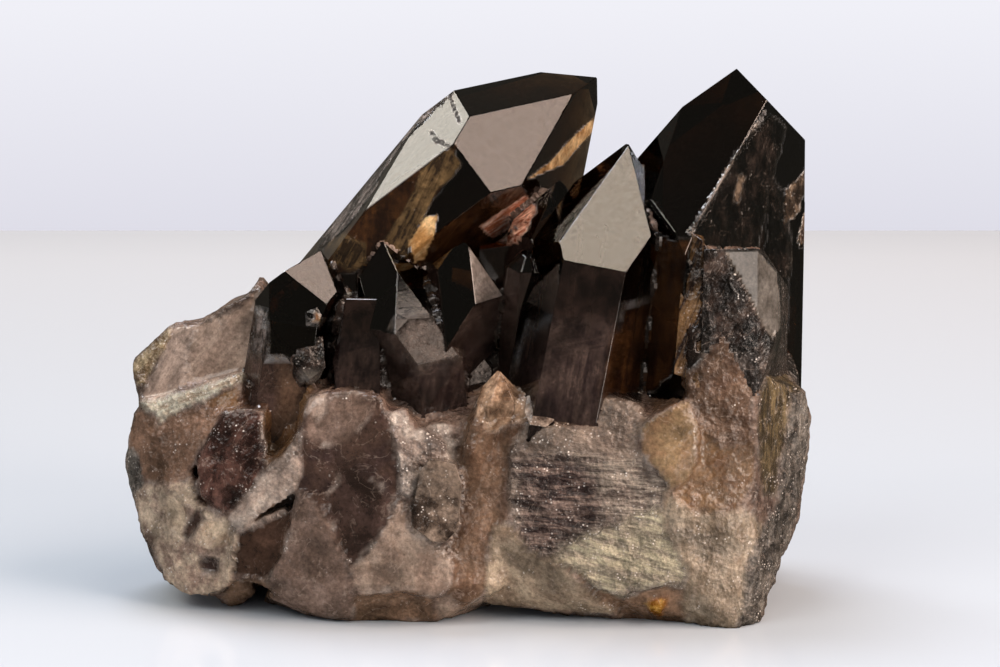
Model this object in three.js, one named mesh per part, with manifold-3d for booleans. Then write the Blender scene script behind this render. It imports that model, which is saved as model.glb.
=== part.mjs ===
// A hand specimen of smoky quartz: pointed crystals grown together on a broken, milky root.
// Millimetres, +Z up, the viewer of the good side stands at -Y. The cluster is one stone and one solid.
import * as THREE from "three";
import { ConvexGeometry } from "three/addons/geometries/ConvexGeometry.js";
import { mergeVertices } from "three/addons/utils/BufferGeometryUtils.js";
import Module from "manifold-3d";

// Driving dimensions
const CAP_SLOPE = 38.2; // degrees between a quartz cap face and the crystal's long axis
const CRYSTAL_LENGTH = 60; // a crystal runs on this far below its tip, into the root
const BLOCK_BACK = 8; // how far back, in Y, the broken blocks of the good side run
const BLOCK_SPREAD = 1.02; // a block is drawn this much larger, so that it reaches into its neighbours
const BLOCK_TAPER = 0.97; // size of a block's far end against its front
const FLOOR = { width: 200, depth: 100 }; // the slab that wears the underside flat
const MELT = 1e-4; // corners of one block closer than this are one corner
const FINEST = 0.05; // slivers thinner than this are worn away

const wasm = await Module();
wasm.setup();

const degrees = (angle) => THREE.MathUtils.degToRad(angle);
const vector = ([x, y, z]) => new THREE.Vector3(x, y, z);

// The crystal's own directions: its long axis, the way its front looks, and its right hand.
function growthFrame(lean, fore) {
  const axis = new THREE.Vector3(
    Math.sin(degrees(lean)) * Math.cos(degrees(fore)),
    -Math.sin(degrees(fore)),
    Math.cos(degrees(lean)) * Math.cos(degrees(fore)),
  );
  const front = new THREE.Vector3(0, -1, 0);
  front.addScaledVector(axis, -front.dot(axis)).normalize();
  const right = new THREE.Vector3().crossVectors(axis, front);
  return { axis, front, right };
}

// The outward normal of a face that looks to `turn` and leans back towards the tip by `slope`.
function faceNormal({ axis, front, right }, turn, slope) {
  const sideways = front.clone().multiplyScalar(Math.cos(degrees(turn)));
  sideways.addScaledVector(right, Math.sin(degrees(turn)));
  return sideways.multiplyScalar(Math.cos(degrees(slope))).addScaledVector(axis, Math.sin(degrees(slope)));
}

// The corners of the solid that lies behind every one of the given planes.
function cornersOf(planes) {
  const corners = [];
  const meet = new THREE.Matrix3();
  planes.forEach((a, i) =>
    planes.slice(i + 1).forEach((b, j) =>
      planes.slice(i + j + 2).forEach((c) => {
        meet.set(...a.normal, ...b.normal, ...c.normal);
        if (Math.abs(meet.determinant()) < MELT) return;
        const reach = new THREE.Vector3(-a.constant, -b.constant, -c.constant);
        const corner = reach.applyMatrix3(meet.invert());
        if (planes.some((plane) => plane.distanceToPoint(corner) > MELT)) return;
        if (corners.some((other) => other.distanceTo(corner) < 10 * MELT)) return;
        corners.push(corner);
      }),
    ),
  );
  return corners;
}

// Six prism faces and six cap faces, as quartz grows. A side is the distance of its face from the axis
// through the tip, and a cap is the height above the tip at which its face would cross that axis.
function quartzFaces({ turn, sides, caps }) {
  const prism = sides.map((reach, k) => [turn + 60 * k, 0, reach]);
  const roof = caps.map((height, k) => [turn + 60 * k, CAP_SLOPE, height * Math.sin(degrees(CAP_SLOPE))]);
  return [...prism, ...roof];
}

// One crystal. Every face is [turn, slope, reach from the tip]; it ends in a flat foot that the root hides.
function crystal({ tip, lean, fore, faces, length = CRYSTAL_LENGTH }) {
  const frame = growthFrame(lean, fore);
  const place = vector(tip);
  const planes = faces.map(([turn, slope, reach]) => {
    const normal = faceNormal(frame, turn, slope);
    return new THREE.Plane(normal, -normal.dot(place) - reach);
  });
  const down = frame.axis.clone().negate();
  planes.push(new THREE.Plane(down, -down.dot(place) - length));
  return solid(new ConvexGeometry(cornersOf(planes)));
}

// A broken block of the root: its front outline, carried back and drawn in a little there.
function block(outline) {
  const drawn = outline.map(vector);
  const middle = drawn.reduce((sum, p) => sum.add(p), new THREE.Vector3()).divideScalar(drawn.length);
  const scaled = (size) => drawn.map((p) => p.clone().sub(middle).multiplyScalar(size).add(middle));
  const front = scaled(BLOCK_SPREAD);
  const rear = scaled(BLOCK_TAPER).map((p) => p.setY(BLOCK_BACK));
  return solid(new ConvexGeometry([...front, ...rear]));
}

// A block given by all of its corners.
function lump(corners) {
  return solid(new ConvexGeometry(corners.map(vector)));
}

// A closed geometry as a solid that can be joined and cut.
function solid(geometry) {
  geometry.deleteAttribute("normal");
  geometry.deleteAttribute("uv");
  const merged = mergeVertices(geometry, MELT);
  return new wasm.Manifold(
    new wasm.Mesh({
      numProp: 3,
      vertProperties: new Float32Array(merged.attributes.position.array),
      triVerts: new Uint32Array(merged.index.array),
    }),
  );
}

function geometryOf(manifold) {
  const { vertProperties, triVerts } = manifold.getMesh();
  const geometry = new THREE.BufferGeometry();
  geometry.setAttribute("position", new THREE.BufferAttribute(new Float32Array(vertProperties), 3));
  geometry.setIndex(new THREE.BufferAttribute(new Uint32Array(triVerts), 1));
  const flat = geometry.toNonIndexed();
  flat.computeVertexNormals();
  return flat;
}

// The big crystal that lies over to the right at the back. Its left flank is a rough surface where it grew
// against a neighbour.
function leaningCrystal() {
  const faces = quartzFaces({ turn: -5, sides: [15.5, 12, 15.5, 11, 9, 12], caps: [0, 0, 12, 14, 9, 0] });
  const roughFlank = [-83, -16, 18];
  return crystal({ tip: [17.5, 12, 80.5], lean: 53, fore: 0, faces: [...faces, roughFlank], length: 62 });
}

// The tall upright crystal on the right, with a broken, rough right side.
function tallCrystal() {
  const faces = [
    [-4, CAP_SLOPE, 0],
    [-62, 34, 4.5],
    [-50, -1, 21],
    [3, 27.5, 5],
    [50, 1, 6.5],
    [-125, 37, 0],
    [84, 45, 0.5],
    [96, 16, 13.5],
    [97, 0, 13],
    [-115, 0, 13],
    [-160, 0, 11],
    [150, 0, 10],
    [178, CAP_SLOPE, 3],
  ];
  return crystal({ tip: [43.5, 9, 84.5], lean: 1, fore: -5, faces, length: 72 });
}

// The crystal in front of it, with the brightest face.
function centreCrystal() {
  const faces = quartzFaces({ turn: -3, sides: [15.5, 10.5, 8, 5, 7, 13.5], caps: [0, 0, 0.5, 2, 1.5, 0] });
  return crystal({ tip: [26, 0, 73], lean: 11, fore: -6, faces });
}

// A slanting crystal of the left group, with a striped face, and the one half hidden behind it.
function stripedCrystal() {
  const faces = quartzFaces({ turn: 21, sides: [13.5, 12, 8, 6, 5, 8], caps: [2.5, 0, 1.5, 3, 2, 0] });
  return crystal({ tip: [-12.5, -6.5, 57], lean: -5, fore: 14, faces, length: 48 });
}

function stripedCrystalBack() {
  const faces = quartzFaces({ turn: 21, sides: [13, 11.5, 8, 6, 5, 10], caps: [0.5, 0, 1.5, 3, 2, 4] });
  return crystal({ tip: [-7.5, -1, 53], lean: -5, fore: 14, faces, length: 48 });
}

// The small dark crystal in the middle, with a bright triangle beside a black face.
function middleCrystal() {
  const faces = quartzFaces({ turn: 50, sides: [5.5, 9, 7, 6, 5, 11], caps: [0, 0, 1, 2, 2.5, 0] });
  return crystal({ tip: [0.5, -7, 57.5], lean: 7.5, fore: 14, faces, length: 46 });
}

// A thin crystal with a rounded, half-dissolved tip.
function thinCrystal() {
  const faces = quartzFaces({ turn: 10, sides: [3, 3, 3, 4, 3, 2.7], caps: [0.5, 0, 0.5, 1, 0.5, 0] });
  return crystal({ tip: [9.7, -7, 57.5], lean: 4, fore: 8, faces: [...faces, [0, 80, -1]], length: 42 });
}

// The leftmost crystal, whose small cap face catches the light over a steeper shoulder face.
function leftCrystal() {
  const faces = [
    [19.5, 45, 0],
    [0, 20, 3.8],
    [85, CAP_SLOPE, 0],
    [-112, CAP_SLOPE, 0],
    [-90, CAP_SLOPE, 2.3],
    [170, CAP_SLOPE, 0],
    [0, 0, 8],
    [-60, 0, 9],
    [-95, 0, 8.6],
    [60, 0, 5.5],
    [120, 0, 5],
    [180, 0, 7],
  ];
  return crystal({ tip: [-23.1, -6, 56.9], lean: 10, fore: 4, faces, length: 44 });
}

// A dark crystal tucked under the leaning one, seen between its neighbours.
function tuckedCrystal() {
  const faces = quartzFaces({ turn: 6, sides: [7, 7, 7, 7, 6, 7], caps: [0, 1, 1, 2, 1, 0.5] });
  return crystal({ tip: [15, 3, 66.5], lean: 7, fore: 2, faces, length: 44 });
}

// Five more crystals on the far side.
function rearMiddleCrystal() {
  const faces = quartzFaces({ turn: 14, sides: [7, 6, 7, 8, 6, 7], caps: [1, 0, 2, 0, 1, 0] });
  return crystal({ tip: [26, 16, 63], lean: 5, fore: -12, faces, length: 52 });
}

function rearLeftCrystal() {
  const faces = quartzFaces({ turn: -20, sides: [7, 6, 6, 6.5, 7, 6], caps: [0, 2, 0, 0, 1, 2] });
  return crystal({ tip: [-13, 21, 44], lean: -7, fore: -20, faces, length: 38 });
}

function rearRightCrystal() {
  const faces = quartzFaces({ turn: 32, sides: [5, 5, 5.5, 5, 5, 5], caps: [0, 1, 0, 1, 0, 1] });
  return crystal({ tip: [45, 25, 47], lean: 8, fore: -16, faces, length: 36 });
}

function rearEdgeCrystal() {
  const faces = quartzFaces({ turn: -12, sides: [4.5, 5, 4.5, 4.5, 5, 4.5], caps: [0, 1, 0, 1.5, 0, 0.5] });
  return crystal({ tip: [49, 14, 51], lean: 6, fore: -8, faces, length: 34 });
}

function rearWingCrystal() {
  const faces = quartzFaces({ turn: 25, sides: [4, 3.5, 4, 4.5, 3.5, 4], caps: [0.5, 0, 1, 0, 0.5, 0] });
  return crystal({ tip: [-37, 15, 44.5], lean: -12, fore: -16, faces, length: 26 });
}

const CRYSTALS = [
  leaningCrystal,
  tallCrystal,
  centreCrystal,
  stripedCrystal,
  stripedCrystalBack,
  middleCrystal,
  thinCrystal,
  leftCrystal,
  tuckedCrystal,
  rearMiddleCrystal,
  rearLeftCrystal,
  rearRightCrystal,
  rearEdgeCrystal,
  rearWingCrystal,
];

// The root's core, wholly behind the broken blocks.
function core() {
  return lump([
    [-46, -3, 12],
    [-42, 10, 4],
    [-36, -12, 8],
    [-30, -12, 30],
    [-46, -2, 28],
    [-44, 12, 30],
    [-12, -18, 8],
    [-8, -16, 30],
    [0, -17, 4.5],
    [8, -17, 30],
    [30, -18, 8],
    [28, -16, 33],
    [44, -14, 8],
    [47, -10, 34],
    [44, 14, 5],
    [46, 12, 36],
    [0, 20, 36],
    [0, 20, 4],
  ]);
}

// The root's foot, which closes the arch between the two front feet.
function sole() {
  return lump([
    [-32, -5, -0.5],
    [-6, -7.5, -0.5],
    [22, -9, -0.5],
    [44, -12, -0.5],
    [46, 14, -0.5],
    [30, 22, -0.5],
    [-22, 22, -0.5],
    [-34, 14, -0.5],
    [-34, -6, 14],
    [40, -12, 14],
    [40, 16, 14],
    [-30, 18, 14],
  ]);
}

// Broken blocks of the good side: each outline goes round the block's front as the viewer sees it.
const FRONT_BLOCKS = {
  wingRight: [
    [-43.5, -2, 44], [-38, -3, 47.5], [-35.5, -3.5, 48.5], [-33, -3, 48.5], [-32.5, -7, 33.5],
    [-45, -6, 33.5],
  ],
  wingSpike: [[-35.5, -3.5, 48.5], [-33.5, -2, 51], [-32, -3, 48.5], [-33, -4, 43]],
  wingLeft: [
    [-54.5, 1, 37.5], [-53, 2, 39], [-47.5, 1, 43.5], [-43.5, -2, 44], [-45, -6, 33.5], [-53, -3, 32],
  ],
  leftShoulder: [
    [-52.5, -5, 32], [-48.5, -7, 33], [-41, -9, 35.5], [-36, -10, 37], [-35, -13, 30.5],
    [-40, -13, 29], [-44, -12, 22.5], [-50.5, -9, 24], [-54.5, -5, 25.5],
  ],
  leftCheek: [
    [-54.5, -5, 25.5], [-50.5, -9, 24.5], [-44, -12, 22.5], [-42, -13, 18], [-45.5, -13, 17],
    [-52.5, -8, 14.5], [-55, -4, 19], [-55.5, -3, 21.5],
  ],
  leftFoot: [
    [-52.5, -8, 14.5], [-45.5, -13, 18], [-38.5, -16, 16.5], [-35, -17, 15], [-35, -17.5, 6.5],
    [-39, -16, 3.5], [-45, -13, 2.5], [-49.5, -9, 5], [-52.5, -6, 11],
  ],
  footPoint: [[-41.5, -13, 4], [-34.5, -14.5, 6], [-34, -12, 2], [-37.5, -11.5, -0.5], [-39, -11, 0.5]],
  darkStub: [
    [-38, -14, 32], [-31.5, -15.5, 32.5], [-31.5, -17.5, 24], [-33.5, -18.5, 20.5], [-36.5, -18, 17],
    [-41.5, -16, 19], [-42, -15, 24], [-40, -14, 28],
  ],
  paleVein: [
    [-31.5, -18, 24.5], [-26.5, -18, 29.5], [-25.5, -19.5, 25], [-27, -20.5, 21], [-36, -18.5, 15],
    [-38, -18, 17],
  ],
  smallWindow: [
    [-36.5, -18.5, 13.5], [-33, -19, 14.5], [-27, -20.5, 17.5], [-28, -20.5, 12.5], [-29.5, -20.5, 5],
    [-36.5, -17.5, 6],
  ],
  pinkBlock: [
    [-25.5, -21, 21], [-22.5, -22, 19.5], [-21, -22.5, 16], [-18, -23.5, 6], [-18.5, -22, 1],
    [-24, -20, 1], [-31, -18, 3.5], [-30, -21, 7], [-27, -20.5, 17.5],
  ],
  bigWindow: [
    [-25, -17, 34.5], [-22.5, -17.5, 35.5], [-18, -18.5, 36], [-13, -18.5, 35], [-12, -20, 31.5],
    [-10.5, -21.5, 25.5], [-10, -22.5, 20], [-12.5, -23.5, 16], [-15, -23.5, 12], [-18, -23.5, 9.5],
    [-20, -23, 12], [-26, -20.5, 21], [-26, -18.5, 32],
  ],
  paleLobe: [
    [-9.5, -22.5, 19.5], [-8, -24, 15], [-5, -24.5, 13.5], [-1.5, -24.5, 10], [-3, -25, 6],
    [-10.5, -25, 5.5], [-17, -24, 5.5], [-18, -23.5, 9.5], [-12.5, -23.5, 16],
  ],
  leftSole: [
    [-31, -18, 3.5], [-18, -23.5, 6.5], [-3, -24.5, 7], [5.5, -22, 6.5], [3.5, -8.5, -0.5],
    [0, -12.5, -0.5], [-2.5, -18, -0.5], [-5.5, -21, -0.5], [-18.5, -20, -0.5], [-23, -17, -0.5],
    [-28.5, -11, -0.5], [-32.5, -6.5, -0.5],
  ],
  sparkVein: [
    [-12, -18, 33], [-9.5, -17.5, 32.5], [-8.5, -19, 27.5], [-1.5, -19.5, 25], [-5.5, -20, 23.5],
    [-8, -22, 20], [-9.5, -22.5, 20], [-10.5, -21.5, 25.5],
  ],
  stubCrystal: [
    [-5.5, -22.5, 26.5], [-1.5, -22.5, 25.5], [-0.5, -23.5, 22.5], [-1, -25.5, 16], [-3, -26, 14],
    [-5, -26, 14], [-8, -25, 16], [-8, -24, 19.5], [-7, -22.5, 24.5],
  ],
  brownRib: [
    [-0.5, -19, 24.5], [2, -17.5, 34], [5, -17.5, 36], [7, -18, 35], [7.5, -19.5, 26], [7, -21, 16.5],
    [5.5, -21.5, 7], [0, -23.5, 4], [-3, -24, 6], [-1.5, -22.5, 15],
  ],
  upperBand: [
    [5.5, -18, 34], [15.5, -18.5, 34], [21, -18.5, 35], [28, -20, 32], [26, -21, 28], [7.5, -20.5, 25.5],
  ],
  ledgeBlock: [
    [15, -19, 32.5], [18, -18, 35], [22.5, -18.5, 35.5], [27.5, -19, 34], [28, -19.5, 31.5],
    [26, -21.5, 29], [14, -20.5, 31],
  ],
  clearKnob: [
    [9.5, -17, 35.5], [12, -17.5, 36], [15, -18, 35], [15.5, -19, 33.5], [12.5, -20.5, 31],
    [10, -20, 31.5],
  ],
  fibreFace: [
    [7.5, -21, 26.5], [14, -21, 31], [26, -21.5, 29], [27.5, -22, 27], [30.5, -23.5, 21.5],
    [32, -24.5, 15], [34.5, -25, 9.5], [31.5, -25.5, 7], [23, -25.5, 5], [18, -25, 7.5],
    [13.5, -24, 11.5], [6.5, -22.5, 14.5], [6.5, -21.5, 21.5],
  ],
  lowerLip: [
    [4.5, -22, 15.5], [7.5, -22, 16], [13.5, -23.5, 11], [17.5, -24, 7.5], [24, -24.5, 6],
    [25, -19, -0.5], [21.5, -14.5, -0.5], [13, -14, 0.5], [9, -17, 2], [4, -19, 3],
  ],
  rightSole: [
    [17.5, -24, 7.5], [23.5, -24.5, 5], [31.5, -25, 7], [35.5, -25, 9], [37, -22, -0.5],
    [32, -19.5, -0.5], [25, -18, -0.5], [21, -15, -0.5],
  ],
  yellowBoss: [
    [27, -21.5, 31], [30, -21.5, 33.5], [34.5, -20.5, 34.5], [35.5, -22, 31], [35.5, -23, 26.5],
    [32.5, -24, 22], [30, -24, 25], [28, -23, 27.5],
  ],
  rightUpper: [
    [35, -18.5, 46], [40.5, -18.5, 46], [46, -17.5, 46], [45.5, -18.5, 35], [45, -19.5, 30],
    [35, -20.5, 30], [34.5, -20, 35],
  ],
  rightMiddle: [
    [34.5, -21, 31], [45, -19.5, 30.5], [44.5, -21, 19], [42, -23.5, 10], [36.5, -24, 16.5],
    [32, -24, 21],
  ],
  rightLower: [
    [32.5, -24, 22], [42, -23, 17], [44.5, -21, 19.5], [46, -22, 10], [46, -21, -0.5],
    [42, -25.5, -0.5], [36.5, -23, -0.5], [35, -25, 6.5], [34, -25.5, 10], [32, -25, 15],
  ],
  rightEdge: [
    [45, -19.5, 30.5], [46, -18, 38], [53.5, -8, 34.5], [55, -4, 30], [54.5, -5, 22], [53, -7, 14.5],
    [52, -9, 11.5], [49.5, -12, 7], [47.5, -14, 3], [46, -21, -0.5], [45, -21, 10],
  ],
};

// A small clear tip that stands on the root between two of the crystals.
function clearTip() {
  const faces = quartzFaces({ turn: 4, sides: [3, 3, 3, 3, 3, 3.5], caps: [0, 0, 0, 1, 1, 0] });
  return crystal({ tip: [5.5, -16, 39], lean: 0, fore: 6, faces, length: 12 });
}

// A thin rusty fin between the centre crystal and the tall one.
function rustyFin() {
  return lump([
    [34.5, -12, 61],
    [37, -14.5, 59.5],
    [38, -17, 46],
    [36, -19.5, 38],
    [32.5, -18, 39],
    [34, -14, 52],
    [38, -6, 60],
    [40, -8, 38],
    [34, -6, 38],
    [36, -4, 58],
  ]);
}

// A stub with a flat pale front, broken off against the tall crystal.
function paleFacetStub() {
  return lump([
    [40, -17.5, 58.5],
    [45.5, -16.5, 58.5],
    [48.5, -14.5, 55],
    [49, -15, 45.5],
    [46.5, -17, 43],
    [45.5, -18.5, 36],
    [36.5, -19, 38],
    [37, -17.5, 58.5],
    [38, 0, 56],
    [48, 0, 56],
    [52, 0, 50],
    [52, 0, 36],
    [38, 0, 36],
  ]);
}

// A blunt dark stub among the left crystals.
function bluntStub() {
  return lump([
    [-19, -9, 49.5],
    [-14, -9.5, 49.5],
    [-13.5, -12.5, 41],
    [-13.5, -15, 34],
    [-20.5, -14.5, 36],
    [-21, -12, 40],
    [-18, 0, 49.5],
    [-13, 0, 49.5],
    [-12, 0, 34],
    [-21, 0, 34],
  ]);
}

// The small wedge in front of the leftmost crystal.
function smallWedge() {
  return lump([
    [-27, -14.5, 40.5],
    [-24.5, -15, 37.5],
    [-22, -14.5, 39.5],
    [-22.5, -12, 44],
    [-26.5, -12, 43],
    [-24.5, -6, 42],
    [-24.5, -8, 34],
    [-28, -10, 34],
  ]);
}

// Broken blocks of the far side, each given by its corners.
const REAR_LUMPS = {
  leftShoulder: [
    [-52, 2, 36], [-47, 12, 40], [-36, 17, 38], [-34, 4, 44], [-50, 14, 26], [-53, 4, 22], [-38, 20, 24],
    [-34, 8, 22],
  ],
  leftFoot: [
    [-53, 2, 20], [-50, 14, 22], [-44, 20, 14], [-40, 17, -0.5], [-46, 6, -0.5], [-51, -2, 10],
    [-34, 22, 20], [-32, 20, -0.5], [-34, 0, -0.5],
  ],
  middleLeft: [
    [-34, 22, 30], [-16, 26, 34], [-6, 27, 26], [-8, 26, 6], [-20, 25, -0.5], [-34, 21, -0.5],
    [-37, 18, 14], [-10, 12, 38], [-30, 12, 38], [-10, 4, -0.5], [-32, 6, -0.5],
  ],
  middleRight: [
    [-8, 25, 30], [6, 28, 36], [20, 27, 33], [24, 26, 12], [12, 25, 1], [-6, 24, 1], [-10, 26, 14],
    [0, 12, 42], [22, 12, 44], [22, 6, 1], [-8, 6, 2],
  ],
  right: [
    [20, 26, 36], [36, 24, 42], [46, 22, 38], [49, 20, 16], [42, 21, -0.5], [24, 23, -0.5],
    [18, 24, 12], [24, 10, 48], [46, 8, 48], [44, 0, -0.5], [24, 4, -0.5],
  ],
  rightEdge: [
    [47, 20, 36], [53, 8, 40], [55, -2, 32], [54, 4, 14], [49, 14, 4], [46, 10, -0.5], [44, 6, 46],
    [48, -8, 6], [46, 20, 12], [40, 4, 10],
  ],
};

// Ledges and a bed round the foot of the leaning crystal, on the far side.
const REAR_LEDGES = {
  bed: [
    [-46, 6, 38], [-44, 14, 40], [-36, 8, 46], [-30, 20, 44], [-24, 8, 51], [-19, 22, 41], [-15, 10, 48],
    [-12, 24, 35], [-44, 18, 28], [-30, 24.5, 26], [-12, 26, 26], [-46, 4, 26],
  ],
  left: [
    [-28, 22, 6], [-14, 27.5, 8], [-10, 26, 18], [-24, 26, 21], [-30, 24, 14], [-20, 18, 6], [-18, 18, 22],
  ],
  middle: [
    [2, 26, 8], [14, 28.5, 11], [19, 27, 22], [6, 28.5, 25], [0, 27, 16], [8, 20, 7], [10, 20, 26],
  ],
  right: [
    [28, 25, 8], [40, 24, 6], [45, 23, 20], [35, 27, 24], [27, 26, 16], [34, 16, 6], [36, 16, 26],
  ],
};

function root() {
  const blocks = Object.values(FRONT_BLOCKS).map(block);
  const lumps = [...Object.values(REAR_LUMPS), ...Object.values(REAR_LEDGES)].map(lump);
  const pieces = [clearTip(), rustyFin(), paleFacetStub(), bluntStub(), smallWedge()];
  return [...blocks, ...lumps, ...pieces].reduce((all, one) => all.add(one), core().add(sole()));
}

// Everything under the floor, taken off so that the stone stands on flats.
function underside() {
  const slab = new THREE.BoxGeometry(FLOOR.width, FLOOR.depth, CRYSTAL_LENGTH);
  slab.translate(0, 0, -CRYSTAL_LENGTH / 2);
  return solid(slab);
}

// The outer skin alone, so that no gap stays shut in between the blocks.
function skin(stone) {
  return stone.decompose().reduce((most, shell) => (shell.volume() > most.volume() ? shell : most));
}

// The whole stone, moved so that the origin is the middle of its underside.
function cluster() {
  const joined = CRYSTALS.reduce((all, grow) => all.add(grow()), root());
  const grown = skin(joined.subtract(underside()).simplify(FINEST));
  const { min, max } = grown.boundingBox();
  return grown.translate(-(min[0] + max[0]) / 2, -(min[1] + max[1]) / 2, -min[2]);
}

const smokyQuartz = new THREE.MeshStandardMaterial({ color: 0x3a2e28, roughness: 0.12, metalness: 0 });
const stone = new THREE.Mesh(geometryOf(cluster()), smokyQuartz);
stone.name = "quartz_cluster";
const group = new THREE.Group();
group.add(stone);

export default group;
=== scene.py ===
"""Looks of a hand specimen of smoky quartz: clear dark crystals on a broken, milky root.

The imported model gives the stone's shape. Here its root gets broken relief and its crystals get crisp
faces. Both are joined in one closed skin, and one quartz material dresses it from finishes that are
painted region by region.
"""
import functools
import logging
import math
from collections.abc import Iterable
from dataclasses import dataclass, field
from enum import Enum

import bmesh
import bpy
import numpy as np
from mathutils import Matrix, Vector, noise
from mathutils.kdtree import KDTree


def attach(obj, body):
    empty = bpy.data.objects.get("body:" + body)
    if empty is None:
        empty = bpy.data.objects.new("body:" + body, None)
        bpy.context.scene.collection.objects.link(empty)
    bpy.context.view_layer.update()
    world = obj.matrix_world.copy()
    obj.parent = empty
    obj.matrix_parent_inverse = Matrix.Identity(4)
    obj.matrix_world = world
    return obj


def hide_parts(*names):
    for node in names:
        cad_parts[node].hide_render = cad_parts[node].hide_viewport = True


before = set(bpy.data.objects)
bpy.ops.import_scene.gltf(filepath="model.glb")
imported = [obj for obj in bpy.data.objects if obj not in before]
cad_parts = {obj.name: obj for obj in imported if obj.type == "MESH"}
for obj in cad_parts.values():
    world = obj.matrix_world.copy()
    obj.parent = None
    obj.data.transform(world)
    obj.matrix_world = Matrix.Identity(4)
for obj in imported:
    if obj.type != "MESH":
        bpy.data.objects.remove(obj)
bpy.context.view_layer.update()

LOG = logging.getLogger("quartz")
NODE = "quartz_cluster"
TO_MM = 1000.0  # the row frame is in metres, the drawing is in millimetres
DRAWN_MIDDLE = Vector((0.05, 1.44, 0.0))  # where the row frame's origin lies in the drawing, in mm
NEAR = 1e-4  # mm between points that count as one
BLOCK = 400.0  # the width of the block that each crystal is cut from, in mm
CAP_SLOPE = 38.2  # degrees between a quartz cap face and the long axis

# The viewer of the good side, in the drawing. The outlines of regions are given in this viewer's picture.
EYE = Vector((5.4, -444.5, 112.9))
LOOK_DOWN = math.radians(9.0)
LENS_MM = 100.0
SENSOR_MM = 36.0
PICTURE = (1000.0, 667.0)
LENS_PIXELS = LENS_MM / SENSOR_MM * PICTURE[0]

# A finish is a row of numbers: main colour, milk, vein colour, flecks, roughness, relief, fibre and
# growth lines.
NUMBERS = 12
TINTS = [0, 1, 2, 4, 5, 6]
FLECK, RELIEF, FIBRE = 7, 9, 10

SEED = 11  # for the places of patches and for the vector noise
PATCH_BOX = ((-58, -30, -4), (58, 30, 60))  # where the patches of the other sides lie, in mm
LABELS = 64  # more than the stone has bodies, or a body faces
PANEL_DISTANCE = 1.2  # from the stone's middle to each soft box, in m
STONE_MIDDLE = Vector((0.0, 0.0, 0.05))


def linear(code: str) -> tuple[float, float, float]:
    """Turns an sRGB hex colour into linear light.

    Args:
        code: Six hex digits after a hash.

    Returns:
        Red, green and blue from 0 to 1.
    """
    parts = (int(code[k : k + 2], 16) / 255.0 for k in (1, 3, 5))
    return tuple(c / 12.92 if c <= 0.04045 else ((c + 0.055) / 1.055) ** 2.4 for c in parts)


def smoothstep(low: float, high: float, value: np.ndarray) -> np.ndarray:
    """Rises smoothly from 0 at low to 1 at high."""
    t = np.clip((value - low) / (high - low), 0.0, 1.0)
    return t * t * (3.0 - 2.0 * t)


def in_picture(points: np.ndarray) -> np.ndarray:
    """Places drawn points in the viewer's picture.

    Args:
        points: One row of x, y and z in mm for each point.

    Returns:
        One row of picture columns and rows, in pixels, for each point.
    """
    ray = points - np.array(EYE)
    depth = ray[:, 1] * math.cos(LOOK_DOWN) - ray[:, 2] * math.sin(LOOK_DOWN)
    rise = ray[:, 1] * math.sin(LOOK_DOWN) + ray[:, 2] * math.cos(LOOK_DOWN)
    across = PICTURE[0] / 2 + LENS_PIXELS * ray[:, 0] / depth
    down = PICTURE[1] / 2 - LENS_PIXELS * rise / depth
    return np.stack([across, down], axis=1)


def inside_by(outline: list[tuple[float, float]], spots: np.ndarray) -> np.ndarray:
    """Measures how deep spots lie inside an outline.

    Args:
        outline: The corners, in order.
        spots: One row of two coordinates for each spot.

    Returns:
        The distance to the outline, above 0 inside it and below 0 outside.
    """
    corners = np.array(outline, float)
    nearest = np.full(len(spots), np.inf)
    within = np.zeros(len(spots), bool)
    for a, b in zip(corners, np.roll(corners, -1, axis=0)):
        edge = b - a
        from_a = spots - a
        share = np.clip(from_a @ edge / (edge @ edge), 0.0, 1.0)
        nearest = np.minimum(nearest, np.linalg.norm(from_a - share[:, None] * edge, axis=1))
        crosses = (a[1] > spots[:, 1]) != (b[1] > spots[:, 1])
        rise = edge[1] if edge[1] else 1.0
        within ^= crosses & (spots[:, 0] < a[0] + (spots[:, 1] - a[1]) / rise * edge[0])
    return np.where(within, nearest, -nearest)


def add_node(tree: bpy.types.NodeTree, kind: str, inputs: dict, **settings) -> bpy.types.Node:
    """Adds a node with its settings and links.

    Args:
        tree: The node tree.
        kind: The node's type name, without ShaderNode.
        inputs: A value, an output, or a node for its first output, for each input, by name or number.
        settings: The node's own properties.

    Returns:
        The new node.
    """
    node = tree.nodes.new("ShaderNode" + kind)
    for name, value in settings.items():
        setattr(node, name, value)
    for key, value in inputs.items():
        if isinstance(value, bpy.types.Node):
            tree.links.new(value.outputs[0], node.inputs[key])
        elif isinstance(value, bpy.types.NodeSocket):
            tree.links.new(value, node.inputs[key])
        else:
            node.inputs[key].default_value = value
    return node


def stand(name: str, data: bpy.types.ID) -> bpy.types.Object:
    """Puts a mesh, a lamp or a camera in the scene.

    Args:
        name: What it is called.
        data: The mesh, lamp or camera.

    Returns:
        The object that holds it.
    """
    holder = bpy.data.objects.new(name, data)
    bpy.context.scene.collection.objects.link(holder)
    return holder


def settled(holder: bpy.types.Object) -> bpy.types.Mesh:
    """Makes a mesh of an object with its modifiers applied."""
    bpy.context.view_layer.update()
    return bpy.data.meshes.new_from_object(holder.evaluated_get(bpy.context.evaluated_depsgraph_get()))


def read(items: bpy.types.bpy_prop_collection, name: str) -> np.ndarray:
    """Reads a vector of each item of a mesh.

    Args:
        items: The mesh's points, faces or corners.
        name: What to read of each.

    Returns:
        One row of three numbers for each item.
    """
    flat = np.empty(len(items) * 3, np.float32)
    items.foreach_get(name, flat)
    return flat.reshape(-1, 3).astype(float)


def drawn(points: np.ndarray) -> np.ndarray:
    """Takes points of the row frame, in metres, to the drawing, in mm."""
    return points * TO_MM + np.array(DRAWN_MIDDLE)


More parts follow.
